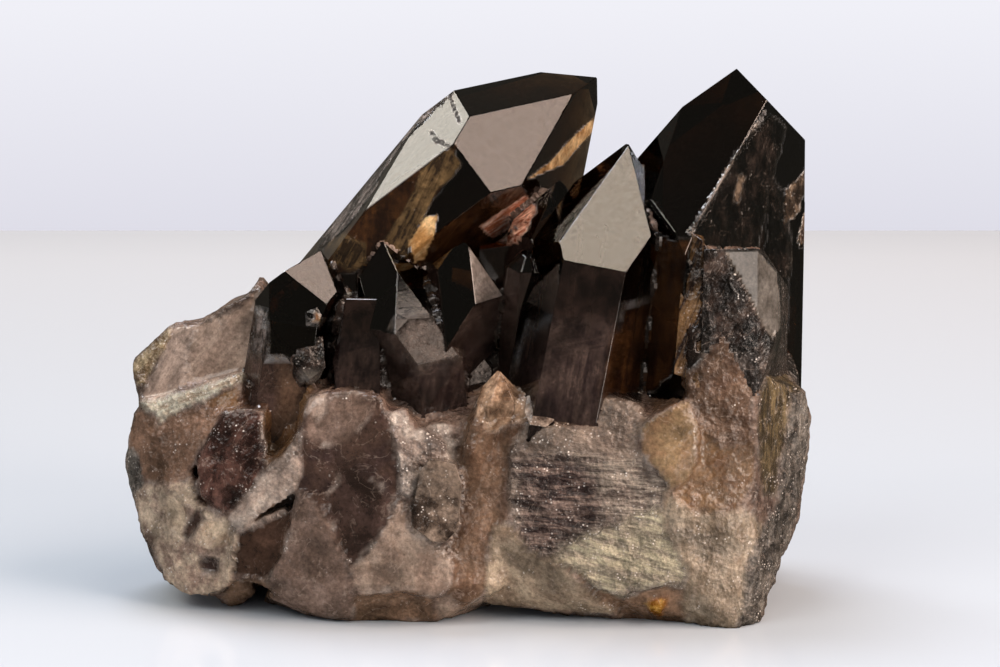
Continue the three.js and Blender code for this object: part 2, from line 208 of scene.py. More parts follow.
def placed(points: np.ndarray) -> np.ndarray:
    """Takes points of the drawing, in mm, to the row frame, in metres."""
    return (points - np.array(DRAWN_MIDDLE)) / TO_MM


def turned(points: np.ndarray, lie: np.ndarray) -> np.ndarray:
    """Turns points so that the fibres run level.

    Args:
        points: Drawn points, in mm.
        lie: Which way the fibres run at each, in degrees.

    Returns:
        The coordinates along the fibres, into the stone and across the fibres, in mm.
    """
    across, inward, up = points.T
    c, s = np.cos(np.radians(lie)), np.sin(np.radians(lie))
    return np.stack([c * across + s * up, inward, c * up - s * across], axis=1)


@dataclass(frozen=True)
class Finish:
    """How one region of the stone looks.

    Args:
        main: Its main colour.
        vein: The colour of its veins, fibres or clouds.
        milk: How milky it is, from 0, clear, to 1, opaque.
        fleck: How many bright flecks it has: white broken quartz, and painted glints.
        rough: Roughness of the surface.
        relief: Height of its broken relief, in mm.
        fibre: How far its pattern is drawn out in fibres, from 0 to 1.
        stria: Strength of growth lines across a crystal's axis.
        lie: Which way its fibres run, in degrees anticlockwise from the right.
    """

    main: str
    vein: str
    milk: float
    fleck: float = 0.1
    rough: float = 0.2
    relief: float = 0.0
    fibre: float = 0.0
    stria: float = 0.0
    lie: float = 0.0

    def values(self) -> np.ndarray:
        """The finish as its numbers, in the order of the three painted layers."""
        tail = (self.fleck, self.rough, self.relief, self.fibre, self.stria)
        return np.array([*linear(self.main), self.milk, *linear(self.vein), *tail])


class Look(Enum):
    """The finishes of the stone, by what they are."""

    CLEAR = Finish("#ffffff", "#c9b9a8", 0.0, fleck=0.0, rough=0.03, stria=0.12)
    DARK_CLEAR = Finish("#1f1613", "#3a2b25", 0.45, fleck=0.0, rough=0.05, stria=0.15)
    PURPLE_HAZE = Finish("#271d1c", "#493b35", 0.7, fleck=0.02, rough=0.06, fibre=0.7, stria=0.2, lie=80)
    # The next four are painted reflections: olive, copper and golden patches for the light that a crystal's
    # far faces mirror and bend.
    PAINTED_OLIVE_REFLECTION = Finish("#2c2116", "#786040", 0.85, fleck=0.03, rough=0.06, fibre=0.5, lie=62)
    PAINTED_COPPER_REFLECTION = Finish("#8a4a35", "#ffc9aa", 0.97, fleck=0.05, rough=0.06, fibre=1.0, lie=27)
    PAINTED_COPPER_GLOW = Finish("#c47857", "#ffd8bf", 0.97, fleck=0.05, rough=0.06, fibre=1.0, lie=27)
    PAINTED_GOLDEN_REFLECTION = Finish("#a97c4a", "#e3c08c", 0.85, fleck=0.05, rough=0.1, fibre=0.5, lie=45)
    STREAKED = Finish("#1a1512", "#8e8078", 0.6, fleck=0.5, rough=0.5, relief=0.3, fibre=1.0, lie=55)
    CRACK = Finish("#17110f", "#2a2320", 0.95, fleck=0.0, rough=1.0)
    DUSKY = Finish("#2b201b", "#3d312b", 0.7, fleck=0.0, rough=0.05, stria=0.2)
    # Painted shade: near black, for hollows and faces where shade falls.
    PAINTED_SHADE = Finish("#160f0c", "#241a15", 0.95, fleck=0.0, rough=0.3, relief=0.05)
    # Painted reflection: a pale grey for a crystal face that mirrors a bright room.
    PAINTED_FACET_REFLECTION = Finish("#716760", "#7c726b", 0.97, fleck=0.0, rough=0.05)
    # Painted reflection: a pale grey facet for the light that a mirror-like face reflects.
    PALE_PAINTED_REFLECTION = Finish("#565049", "#6a645d", 0.97, fleck=0.12)
    SMOKY_FOOT = Finish("#49362a", "#5f4838", 0.85, fleck=0.08, rough=0.12, relief=0.04, fibre=0.4, lie=75)
    SMOKY_SIDE = Finish("#2c1a10", "#4c3019", 0.55, fleck=0.05, rough=0.06, fibre=0.5, lie=85)
    ROUGH_DARK = Finish("#161210", "#3a322d", 0.75, fleck=0.4, rough=0.3, relief=0.25, fibre=0.3, lie=60)
    DARK_STREAKS = Finish("#0d0907", "#2c231e", 0.3, fleck=0.15, rough=0.14, relief=0.08, fibre=0.8, lie=72)
    DARK_PITTED = Finish("#1d1614", "#40332c", 0.75, fleck=0.35, relief=0.2, fibre=0.2, lie=60)
    DARK_CHIP = Finish("#33281f", "#6d5c4c", 0.8, fleck=0.4, relief=0.1)
    RUSTY = Finish("#80603f", "#2c1c14", 0.95, fleck=0.2, rough=0.3, relief=0.2, fibre=1.0, lie=85)
    ROOT = Finish("#7d685b", "#54433b", 0.95, fleck=0.15, rough=0.22, relief=0.35, fibre=0.2)
    SILKY = Finish("#9c887a", "#ad998a", 0.97, fleck=0.05, rough=0.25, relief=0.04, fibre=0.8, lie=65)
    SILKY_PALE = Finish("#927d6e", "#a5907f", 0.97, fleck=0.05, rough=0.25, relief=0.04, fibre=0.8, lie=55)
    RUSTY_EDGE = Finish("#8b7152", "#ceb993", 0.95, fleck=0.5, rough=0.35, relief=0.4, fibre=0.4, lie=50)
    SPARKLY_LEDGE = Finish("#9d8d78", "#cecbb7", 0.97, fleck=0.9, rough=0.25, relief=0.5, fibre=0.6, lie=20)
    BUBBLY_BROWN = Finish("#856855", "#624b3b", 0.92, fleck=0.25, rough=0.12, relief=0.3)
    DARK_SPARKLY = Finish("#35211d", "#563d35", 0.8, fleck=0.4, rough=0.15, relief=0.15, fibre=0.3, lie=80)
    PALE_VEIN = Finish("#9b897c", "#b7a798", 0.97, fleck=0.4, rough=0.22, relief=0.25, fibre=0.3, lie=45)
    MOTTLED = Finish("#c0ac94", "#826d5f", 0.97, fleck=0.45, rough=0.25, relief=0.5)
    FLAT_WINDOW = Finish("#3c2b22", "#473429", 0.95, fleck=0.05, rough=0.1, relief=0.03)
    PINKISH = Finish("#68564b", "#78655a", 0.97, relief=0.12)
    SMOKY_WINDOW = Finish(
        "#4e3c33", "#352825", 0.9, fleck=0.12, rough=0.12, relief=0.08, fibre=0.2, lie=-50
    )
    DEEP_WINDOW = Finish("#382a24", "#4a3933", 0.9, fleck=0.08, rough=0.1, relief=0.05)
    PALE_LOBE = Finish("#8c7768", "#9d8a7a", 0.97, relief=0.12)
    BROWN_SOLE = Finish("#8b6f59", "#5f4a3a", 0.95, fleck=0.15, relief=0.2)
    SPARK_VEIN = Finish("#76675e", "#a59a8f", 0.95, fleck=0.9, rough=0.18, relief=0.4)
    HEALED_EDGE = Finish("#2c2520", "#63584f", 0.9, fleck=0.4, rough=0.25, relief=0.1)
    DULLED = Finish("#3e332d", "#53473f", 0.85, rough=0.35, relief=0.02, fibre=0.5, lie=20)
    WATER_CLEAR = Finish("#55453b", "#958373", 0.75, fleck=0.5, rough=0.08, relief=0.15)
    WARM_RIB = Finish("#705947", "#543e2f", 0.95, fleck=0.2, relief=0.15, fibre=0.3, lie=85)
    CLEAR_KNOB = Finish("#8a7465", "#c0ab98", 0.8, fleck=0.6, rough=0.06, relief=0.12)
    HONEY_CLEAR = Finish("#977459", "#c8a88a", 0.8, fleck=0.4, rough=0.08, relief=0.1, fibre=0.4, lie=60)
    GREY_BAND = Finish("#66574c", "#7f7063", 0.97, fleck=0.45, rough=0.25, relief=0.3, fibre=0.6, lie=-10)
    FIBRE_DARK = Finish("#2f211f", "#826d62", 0.95, fleck=0.55, rough=0.25, relief=0.45, fibre=1.0, lie=-4)
    FIBRE_GREY = Finish("#564a42", "#988b7c", 0.97, fleck=0.55, rough=0.28, relief=0.45, fibre=1.0, lie=-4)
    FIBRE_PALE = Finish("#827867", "#b2a88c", 0.98, fleck=0.5, rough=0.3, relief=0.4, fibre=0.9, lie=-14)
    LIP = Finish("#a08f79", "#7b6957", 0.96, fleck=0.25, rough=0.22, relief=0.25, fibre=0.3, lie=-30)
    STAIN = Finish("#7e4c12", "#b88e3e", 0.98, rough=0.35, relief=0.3)
    PALE_BOSS = Finish("#c9b398", "#a78d74", 0.95, fleck=0.2, rough=0.16, relief=0.15)
    HONEY_BOSS = Finish("#846e52", "#725a43", 0.95, rough=0.16, relief=0.1)
    UPPER_MILK = Finish("#6d5543", "#4d392c", 0.95, fleck=0.3, rough=0.22, relief=0.25, fibre=0.3, lie=75)
    TAN = Finish("#73593f", "#60452f", 0.96, fleck=0.15, relief=0.15, fibre=0.3, lie=80)
    PALE_TAN = Finish("#80705d", "#978a78", 0.97, fleck=0.35, rough=0.22, relief=0.3, fibre=0.4, lie=75)
    OLIVE_STREAK = Finish("#382e20", "#695a40", 0.85, fleck=0.3, relief=0.25, fibre=1.0, lie=85)
    GREY_RIM = Finish("#3b3631", "#777067", 0.96, fleck=0.7, rough=0.3, relief=0.5, fibre=0.5, lie=80)


@dataclass
class Solid:
    """A convex body with flat faces.

    Args:
        name: What it is called.
        body: Its finish.
        looks: The finish of single faces that differ, by their number.
        grain: The width of its skin's cells, in mm.
        detail: The width of the cells on its good side, in mm, where it is painted in detail.
        edge: The width of its worn edges, in mm.
        normals: The way that each face looks.
        reaches: How far each face lies from the drawing's origin, in mm.
    """

    name: str
    body: Look = Look.CLEAR
    looks: dict[int, Look] = field(default_factory=dict)
    grain: float = 1.8
    detail: float = 0.0
    edge: float = 0.1
    normals: np.ndarray = field(init=False)
    reaches: np.ndarray = field(init=False)

    def shape(self) -> bmesh.types.BMesh:
        """The plain body, in the drawing."""
        raise NotImplementedError

    def growth(self, points: np.ndarray) -> np.ndarray:
        """The coordinates that its growth lines follow, in mm."""
        return points

    def mesh(self) -> bpy.types.Mesh:
        """Makes the body's skin, with worn edges and a fine enough grain to be painted.

        Returns:
            The mesh, in the drawing.
        """
        shape = self.shape()
        shape.normal_update()
        if self.edge:
            bmesh.ops.bevel(
                shape, geom=shape.edges[:], affect="EDGES", offset=self.edge, offset_type="OFFSET",
                segments=1, profile=0.5, clamp_overlap=True, material=-1,
            )
        bmesh.ops.remove_doubles(shape, verts=shape.verts, dist=NEAR)
        shape.normal_update()
        across, inward, up = Vector((1.0, 0.0, 0.0)), Vector((0.0, 1.0, 0.0)), Vector((0.0, 0.0, 1.0))
        for way in (across, inward, up):
            self.slice(shape, way, self.grain, shape.faces)
        if self.detail:
            for way in (across, up):
                shown = [face for face in shape.faces if face.normal.y < -0.1]
                self.slice(shape, way, self.detail, shown)
        mesh = bpy.data.meshes.new(self.name)
        shape.to_mesh(mesh)
        shape.free()
        return mesh

    def slice(
        self, shape: bmesh.types.BMesh, way: Vector, step: float, faces: Iterable[bmesh.types.BMFace]
    ) -> None:
        """Cuts faces along even planes.

        Args:
            shape: The body's skin.
            way: The direction that the planes face.
            step: The distance between planes, in mm.
            faces: The faces to cut.
        """
        faces = list(faces)
        heights = [way.dot(vert.co) for face in faces for vert in face.verts]
        for k in range(math.ceil(min(heights) / step), math.ceil(max(heights) / step)):
            level = k * step
            crossed, rest = [], []
            for face in faces:
                spans = [way.dot(vert.co) - level for vert in face.verts]
                (crossed if min(spans) < -NEAR and max(spans) > NEAR else rest).append(face)
            if not crossed:
                continue
            geom = {*crossed}.union(*(face.edges for face in crossed), *(face.verts for face in crossed))
            cut = bmesh.ops.bisect_plane(
                shape, geom=list(geom), dist=NEAR, plane_co=way * level, plane_no=way
            )
            faces = rest + [part for part in cut["geom"] if isinstance(part, bmesh.types.BMFace)]

    def depth(self, points: np.ndarray) -> tuple[np.ndarray, np.ndarray]:
        """Finds how far points lie outside the body, and by which face.

        Args:
            points: Drawn points, in mm.

        Returns:
            The distance outside the body, below 0 inside it, and the number of the face that gives it.
        """
        outside = points @ self.normals.T - self.reaches
        return outside.max(axis=1), outside.argmax(axis=1)


@dataclass
class Crystal(Solid):
    """A quartz crystal, cut out by its faces.

    Args:
        tip: The point that the faces are measured from.
        lean: How far its axis leans to the right, in degrees.
        fore: How far its axis leans to the viewer, in degrees.
        faces: The turn, the slope and the distance from the tip of each face.
        length: How far it runs down from the tip, in mm.
    """

    tip: tuple[float, float, float] = (0.0, 0.0, 0.0)
    lean: float = 0.0
    fore: float = 0.0
    faces: list[tuple[float, float, float]] = field(default_factory=list)
    length: float = 60.0

    def directions(self) -> tuple[Vector, Vector, Vector]:
        """Finds how the crystal stands.

        Returns:
            Its long axis, the way its front looks, and its right hand.
        """
        lean, fore = math.radians(self.lean), math.radians(self.fore)
        axis = Vector((math.sin(lean) * math.cos(fore), -math.sin(fore), math.cos(lean) * math.cos(fore)))
        front = Vector((0.0, -1.0, 0.0))
        front = (front - front.dot(axis) * axis).normalized()
        return axis, front, axis.cross(front)

    def shape(self) -> bmesh.types.BMesh:
        """Cuts a block along every face.

        Returns:
            The crystal, in the drawing.
        """
        axis, front, right = self.directions()
        normals, reaches = [], []
        for turn, slope, reach in self.faces:
            turn, slope = math.radians(turn), math.radians(slope)
            sideways = math.cos(turn) * front + math.sin(turn) * right
            normals.append(math.cos(slope) * sideways + math.sin(slope) * axis)
            reaches.append(normals[-1].dot(Vector(self.tip)) + reach)
        normals.append(-axis)
        reaches.append(-axis.dot(Vector(self.tip)) + self.length)
        self.normals, self.reaches = np.array(normals), np.array(reaches)
        block = bmesh.new()
        bmesh.ops.create_cube(block, size=BLOCK, matrix=Matrix.Translation(self.tip))
        for normal, reach in zip(normals, reaches):
            everything = [*block.verts, *block.edges, *block.faces]
            cut = bmesh.ops.bisect_plane(
                block, geom=everything, dist=NEAR, plane_co=normal * reach, plane_no=normal,
                clear_outer=True,
            )
            rim = [part for part in cut["geom_cut"] if isinstance(part, bmesh.types.BMEdge)]
            if rim:
                bmesh.ops.edgeloop_fill(block, edges=rim)
        return block

    def growth(self, points: np.ndarray) -> np.ndarray:
        """Measures points along the crystal, where its growth lines lie.

        Args:
            points: Drawn points, in mm.

        Returns:
            The coordinates to its right, out of its front and up its axis, in mm.
        """
        axis, front, right = self.directions()
        local = points - np.array(self.tip)
        return np.stack([local @ np.array(right), local @ np.array(front), local @ np.array(axis)], axis=1)


@dataclass
class Lump(Solid):
    """A block given by its corners.

    Args:
        corners: The corners, in mm.
    """

    corners: list[tuple[float, float, float]] = field(default_factory=list)

    def shape(self) -> bmesh.types.BMesh:
        """Wraps the corners.

        Returns:
            The block, in the drawing.
        """
        block = bmesh.new()
        for corner in self.corners:
            block.verts.new(corner)
        hull = bmesh.ops.convex_hull(block, input=block.verts)
        spare = [part for part in hull["geom_interior"] if isinstance(part, bmesh.types.BMVert)]
        bmesh.ops.delete(block, geom=spare, context="VERTS")
        bmesh.ops.dissolve_limit(
            block, angle_limit=math.radians(1.0), verts=block.verts, edges=block.edges
        )
        block.normal_update()
        self.normals = np.array([face.normal for face in block.faces])
        self.reaches = np.array([face.normal.dot(face.verts[0].co) for face in block.faces])
        return block


def quartz(turn: float, sides: list[float], caps: list[float]) -> list[tuple[float, float, float]]:
    """Lists the faces of a quartz crystal: first its six sides, then its six caps.

    Args:
        turn: Where its first face looks, in degrees to the right of the viewer.
        sides: The distance of each side from the axis, in mm.
        caps: The height above the tip at which each cap would cross the axis, in mm.

    Returns:
        The turn, the slope and the distance from the tip of each face.
    """
    drop = math.sin(math.radians(CAP_SLOPE))
    prism = [(turn + 60.0 * k, 0.0, reach) for k, reach in enumerate(sides)]
    roof = [(turn + 60.0 * k, CAP_SLOPE, height * drop) for k, height in enumerate(caps)]
    return [*prism, *roof]


@dataclass(frozen=True)
class Region:
    """A finish that shows inside an outline of the viewer's picture.

    Args:
        look: The finish.
        outline: The corners of the outline, in pixels of the picture.
        host: The body that wears it.
        soft: Half the width of its soft border, in pixels.
        ragged: How far its border wanders, in pixels.
        lift: How far its surface stands out, in mm.
        rim: How far its chipped border is paler than the rest: paler chips and a painted highlight where
            the edge catches light.
    """

    look: Look
    outline: list[tuple[float, float]]
    host: str = "root"
    soft: float = 1.5
    ragged: float = 3.0
    lift: float = 0.0
    rim: float = 0.5


def wander(points: np.ndarray, size: float, start: float) -> np.ndarray:
    """Smooth noise at points.

    Args:
        points: One row of three coordinates for each point, in mm.
        size: The width of the noise's waves, in mm.
        start: Where in the noise to begin.

    Returns:
        One row of three values from about -1 to 1 for each point.
    """
    shift = Vector((start, 2.0 * start, -start))
    return np.array([noise.noise_vector(Vector(point) / size + shift) for point in points])


def heaps(points: np.ndarray, size: float, start: float, octaves: int = 4) -> np.ndarray:
    """Fractal noise at points, one value from about -1 to 1 for each."""
    shift = Vector((start, 2.0 * start, -start))
    return np.array([noise.fractal(Vector(point) / size + shift, 0.8, 2.1, octaves) for point in points])


@dataclass
class Painter:
    """Works out the finish of the stone at any point of its skin.

    Args:
        bodies: The crystals and blocks with crisp faces.
        regions: The outlines of the good side.
        rear: The finishes that alternate over the other sides.
        patch: The typical width of a patch on those sides, in mm.
        patches: How many patches there are.
        reach: How near to its body's face a point of the skin lies, in mm.
    """

    bodies: list[Solid]
    regions: list[Region]
    rear: list[Look]
    patch: float = 13.0
    patches: int = 110
    reach: float = 0.13

    def nearest(self, points: np.ndarray) -> tuple[np.ndarray, np.ndarray]:
        """Finds the body that points lie deepest in, or nearest to.

        Args:
            points: Drawn points, in mm.

        Returns:
            The distance outside the body, below 0 inside it, and the way that its nearest face looks.
        """
        outside, ways = np.full(len(points), np.inf), np.zeros_like(points)
        for solid in self.bodies:
            depth, side = solid.depth(points)
            deeper = depth < outside
            outside[deeper] = depth[deeper]
            ways[deeper] = solid.normals[side[deeper]]
        return outside, ways

    def wearers(self, points: np.ndarray) -> tuple[np.ndarray, np.ndarray]:
        """Finds which body's skin each point lies on.

        Args:
            points: Drawn points, in mm.

        Returns:
            The number of the body, or -1 on the root, and the number of its face.
        """
        best = np.full(len(points), self.reach)
        body, face = np.full(len(points), -1), np.zeros(len(points), int)
        for k, solid in enumerate(self.bodies):
            depth, side = solid.depth(points)
            near = np.abs(depth) < best
            best[near], body[near], face[near] = np.abs(depth[near]), k, side[near]
        return body, face

    def mixture(self, points: np.ndarray) -> np.ndarray:
        """The finish of the sides that the viewer doesn't see: patches with wandering borders.

        Args:
            points: Drawn points, in mm.

        Returns:
            The numbers of the finish at each point.
        """
        places = np.random.default_rng(SEED).uniform(*PATCH_BOX, (self.patches, 3))
        bends, ripples = wander(points, self.patch, 3.0), wander(points, 2.5, 9.0)
        moved = points + 0.35 * self.patch * bends + 0.8 * ripples
        tree = KDTree(len(places))
        for k, place in enumerate(places):
            tree.insert(place, k)
        tree.balance()
        found = [tree.find_n(point, 2) for point in moved]
        order = np.array([(one[1], two[1]) for one, two in found])
        first, second = np.array([(one[2], two[2]) for one, two in found]).T
        share = 0.5 + 0.5 * smoothstep(0.0, 1.2, second - first)[:, None]
        table = np.array([look.value.values() for look in self.rear])
        return table[order[:, 0] % len(table)] * share + table[order[:, 1] % len(table)] * (1.0 - share)

    def finish(
        self, points: np.ndarray, normals: np.ndarray, body: np.ndarray, face: np.ndarray
    ) -> tuple[np.ndarray, np.ndarray, np.ndarray]:
        """Paints points.

        Args:
            points: Drawn points, in mm.
            normals: The directions that they face.
            body: The number of the body that wears each, or -1 for the root.
            face: The number of the body's face.

        Returns:
            The numbers of the finish, the lie of the fibres in degrees, and the lift in mm.
        """
        spots = in_picture(points)
        # Borders wander in waves of 5 mm and 1.7 mm, and are chipped in stretches of 3 mm.
        jitter = (wander(points, 5.0, 1.0) + 0.6 * wander(points, 1.7, 5.0))[:, (0, 2)]
        chips = wander(points, 3.0, 12.0)[:, 0]
        chip_and_highlight = Look.SPARK_VEIN.value.values()
        # The regions fade out where the skin turns away from the viewer.
        to_eye = np.array(EYE) - points
        facing = (normals * to_eye).sum(axis=1) / np.linalg.norm(to_eye, axis=1)
        shown = smoothstep(-0.12, 0.08, facing)
        values = self.mixture(points)
        lie, lift = np.full(len(points), 70.0), np.zeros(len(points))
        root = body < 0
        values[root] += shown[root, None] * (Look.ROOT.value.values() - values[root])
        for k, solid in enumerate(self.bodies):
            mine = body == k
            values[mine] = solid.body.value.values()
            for side, look in solid.looks.items():
                values[mine & (face == side)] = look.value.values()
        names = {solid.name: k for k, solid in enumerate(self.bodies)} | {"root": -1}
        for region in self.regions:
            around = region.soft + region.ragged
            low, high = np.min(region.outline, axis=0) - around, np.max(region.outline, axis=0) + around
            near = ((spots > low) & (spots < high)).all(axis=1)
            at = np.flatnonzero(near & (shown > 0.0) & (body == names[region.host]))
            if not len(at):
                continue
            inner = inside_by(region.outline, spots[at] + region.ragged * jitter[at])
            share = smoothstep(-region.soft, region.soft, inner) * shown[at]
            # On a clear face the colours turn before the milk does, so that no pale rim shows there.
            blend = np.repeat(share[:, None], NUMBERS, axis=1)
            if region.host != "root":
                blend[:, TINTS] = np.clip(8.0 * blend[:, TINTS], 0.0, 1.0)
            values[at] += blend * (region.look.value.values() - values[at])
            lie[at[share > 0.5]] = region.look.value.lie
            if region.host == "root":
                # Painted highlight: a pale, flecked rim along a root region's border, for light that its
                # chipped edge catches, over paler chips.
                near_rim = 1.0 - smoothstep(0.5, 2.2, np.abs(inner))
                chipped = region.rim * near_rim * smoothstep(-0.1, 0.3, chips[at]) * shown[at]
                at_rim = values[at]
                at_rim[:, TINTS] += chipped[:, None] * (chip_and_highlight[TINTS] - at_rim[:, TINTS])
                at_rim[:, FLECK] = np.maximum(at_rim[:, FLECK], chipped)
                values[at] = at_rim
            lift[at] += share * (region.lift - lift[at])
        return values, lie, lift


@dataclass
class Root:
    """The broken mass that the crystals grow from.

    Args:
        grain: The width of its skin's cells, in mm.
        tuck: How far its skin draws back under a crisp face, in mm.
    """

    grain: float = 0.75
    tuck: float = 0.6

    def skin(self) -> bpy.types.Mesh:
        """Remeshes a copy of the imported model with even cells.

        Returns:
            The mesh, in the row frame.
        """
        shape = bmesh.new()
        shape.from_mesh(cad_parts[NODE].data)
        bmesh.ops.remove_doubles(shape, verts=shape.verts, dist=1e-6)
        mesh = bpy.data.meshes.new("root_skin")
        shape.to_mesh(mesh)
        shape.free()
        holder = stand("root_skin", mesh)
        remesh = holder.modifiers.new("cells", "REMESH")
        remesh.mode = "VOXEL"
        remesh.voxel_size = self.grain / TO_MM
        fine = settled(holder)
        bpy.data.objects.remove(holder)
        return fine

    def build(self, painter: Painter) -> bpy.types.Object:
        """Gives the root its broken relief and draws it back under the crystals.

        Args:
            painter: Tells the relief of each region.

        Returns:
            The root, in the row frame.
        """
        mesh = self.skin()
        points = drawn(read(mesh.vertices, "co"))
        normals = read(mesh.vertices, "normal")
        on_root, no_face = np.full(len(points), -1), np.zeros(len(points), int)
        values, lie, lift = painter.finish(points, normals, on_root, no_face)
        relief, fibre = values[:, RELIEF], values[:, FIBRE]
        # Heaps 6 mm wide, ridges 2.6 mm apart, and strands 9 mm long and 1 to 2 mm thick.
        coarse = heaps(points, 6.0, 2.0)
        ridges = 0.5 - np.abs(heaps(points, 2.6, 7.0, 3))
        strands = heaps(turned(points, lie) / np.array([9.0, 2.0, 1.1]), 1.0, 4.0, 3)
        height = relief * (1.3 * coarse + 0.9 * ridges * (1.0 - fibre) + strands * fibre) + 1.3 * lift
        # The relief fades out over the last 1.5 mm to a crystal.
        outside, _ = painter.nearest(points)
        free = smoothstep(0.3, 1.5, outside)
        moved = points + normals * (height * free)[:, None]
        # The skin draws back under the crisp faces that it lies along, in turns, as a corner has three.
        for _ in range(4):
            outside, ways = painter.nearest(moved)
            tucked = (outside > -self.tuck) & (outside < 0.5 * self.tuck)
            moved[tucked] -= ways[tucked] * (outside[tucked] + self.tuck)[:, None] * 1.02
        moved[:, 2] = np.maximum(moved[:, 2], 0.0)
        mesh.vertices.foreach_set("co", placed(moved).astype(np.float32).ravel())
        return stand("root", mesh)


@dataclass
class Stone:
    """The whole specimen.

    Args:
        painter: Knows the crisp bodies and the finishes.
        root: The broken mass.
    """

    painter: Painter
    root: Root

    def join(self) -> bpy.types.Mesh:
        """Joins the crystals and the root in one closed skin.

        Returns:
            The mesh, in the row frame.
        """
        holders = []
        to_frame = Matrix.Scale(1.0 / TO_MM, 4) @ Matrix.Translation(-DRAWN_MIDDLE)
        for solid in self.painter.bodies:
            mesh = solid.mesh()
            mesh.transform(to_frame)
            holders.append(stand(solid.name, mesh))
        holders.append(self.root.build(self.painter))
        base = holders[0]
        for other in holders[1:]:
            union = base.modifiers.new("with_" + other.name, "BOOLEAN")
            union.operation = "UNION"
            union.solver = "MANIFOLD"
            union.object = other
        mesh = settled(base)
        for holder in holders:
            bpy.data.objects.remove(holder)
        return mesh

    def build(self, material: bpy.types.Material) -> bpy.types.Object:
        """Joins the stone, paints its skin and dresses it.

        Args:
            material: The quartz.

        Returns:
            The finished stone.
        """
        mesh = self.join()
        mesh.name = "quartz_skin"
        body, face = self.painter.wearers(drawn(read(mesh.polygons, "center")))
        mesh.polygons.foreach_set("use_smooth", body < 0)
        mesh.update()
        self.sharpen(mesh, body)
        self.paint(mesh, body, face)
        mesh.materials.clear()
        mesh.materials.append(material)
        mesh.polygons.foreach_set("material_index", np.zeros(len(body), np.int32))
        stone = stand("quartz", mesh)
        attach(stone, "root")
        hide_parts(NODE)
        LOG.info("stone: %d faces, %d of them on crystals", len(body), int((body >= 0).sum()))
        return stone

    def paint(self, mesh: bpy.types.Mesh, body: np.ndarray, face: np.ndarray) -> None:
        """Writes the finish on every corner of the skin, for the material to read.

        Args:
            mesh: The joined skin.
            body: The number of the body that wears each face of the skin, or -1 for the root.
            face: The number of that body's face.
        """
        corners = np.empty(len(mesh.loops), np.int32)
        mesh.loops.foreach_get("vertex_index", corners)
        corners = corners.astype(np.int64)
        counts = np.empty(len(mesh.polygons), np.int32)
        mesh.polygons.foreach_get("loop_total", counts)
        owner = np.repeat(np.arange(len(counts)), counts)
        body, face, flat = body[owner], face[owner], read(mesh.polygons, "normal")[owner]
        facing = np.where((body < 0)[:, None], read(mesh.corner_normals, "vector"), flat)
        points = drawn(read(mesh.vertices, "co"))[corners]
        # Corners at one point of one crisp face, or of the root, are alike, so only one is worked out.
        alike = (corners * LABELS + body + 1) * LABELS + face * (body >= 0)
        _, kept, back = np.unique(alike, return_index=True, return_inverse=True)
        values, lie, _ = self.painter.finish(points[kept], facing[kept], body[kept], face[kept])
        values, lie = values[back], lie[back]
        rise = np.zeros(len(points))
        for k, solid in enumerate(self.painter.bodies):
            mine = body == k
            rise[mine] = solid.growth(points[mine])[:, 2]
        main, vein, work = np.split(values, 3, axis=1)
        for name, kind, value, row in (
            ("main", "FLOAT_COLOR", "color", main),
            ("vein", "FLOAT_COLOR", "color", vein),
            ("work", "FLOAT_COLOR", "color", work),
            ("lay", "FLOAT_VECTOR", "vector", turned(points, lie)),
            ("rise", "FLOAT", "value", rise),
        ):
            layer = mesh.attributes.new(name, kind, "CORNER")
            layer.data.foreach_set(value, row.astype(np.float32).ravel())

    def sharpen(self, mesh: bpy.types.Mesh, body: np.ndarray) -> None:
        """Keeps the edges crisp between the root and the crystals.

        Args:
            mesh: The joined skin.
            body: The body that each face belongs to.
        """
        shape = bmesh.new()
        shape.from_mesh(mesh)
        shape.faces.ensure_lookup_table()
        for edge in shape.edges:
            edge.smooth = len({body[face.index] >= 0 for face in edge.link_faces}) == 1
        shape.to_mesh(mesh)
        shape.free()


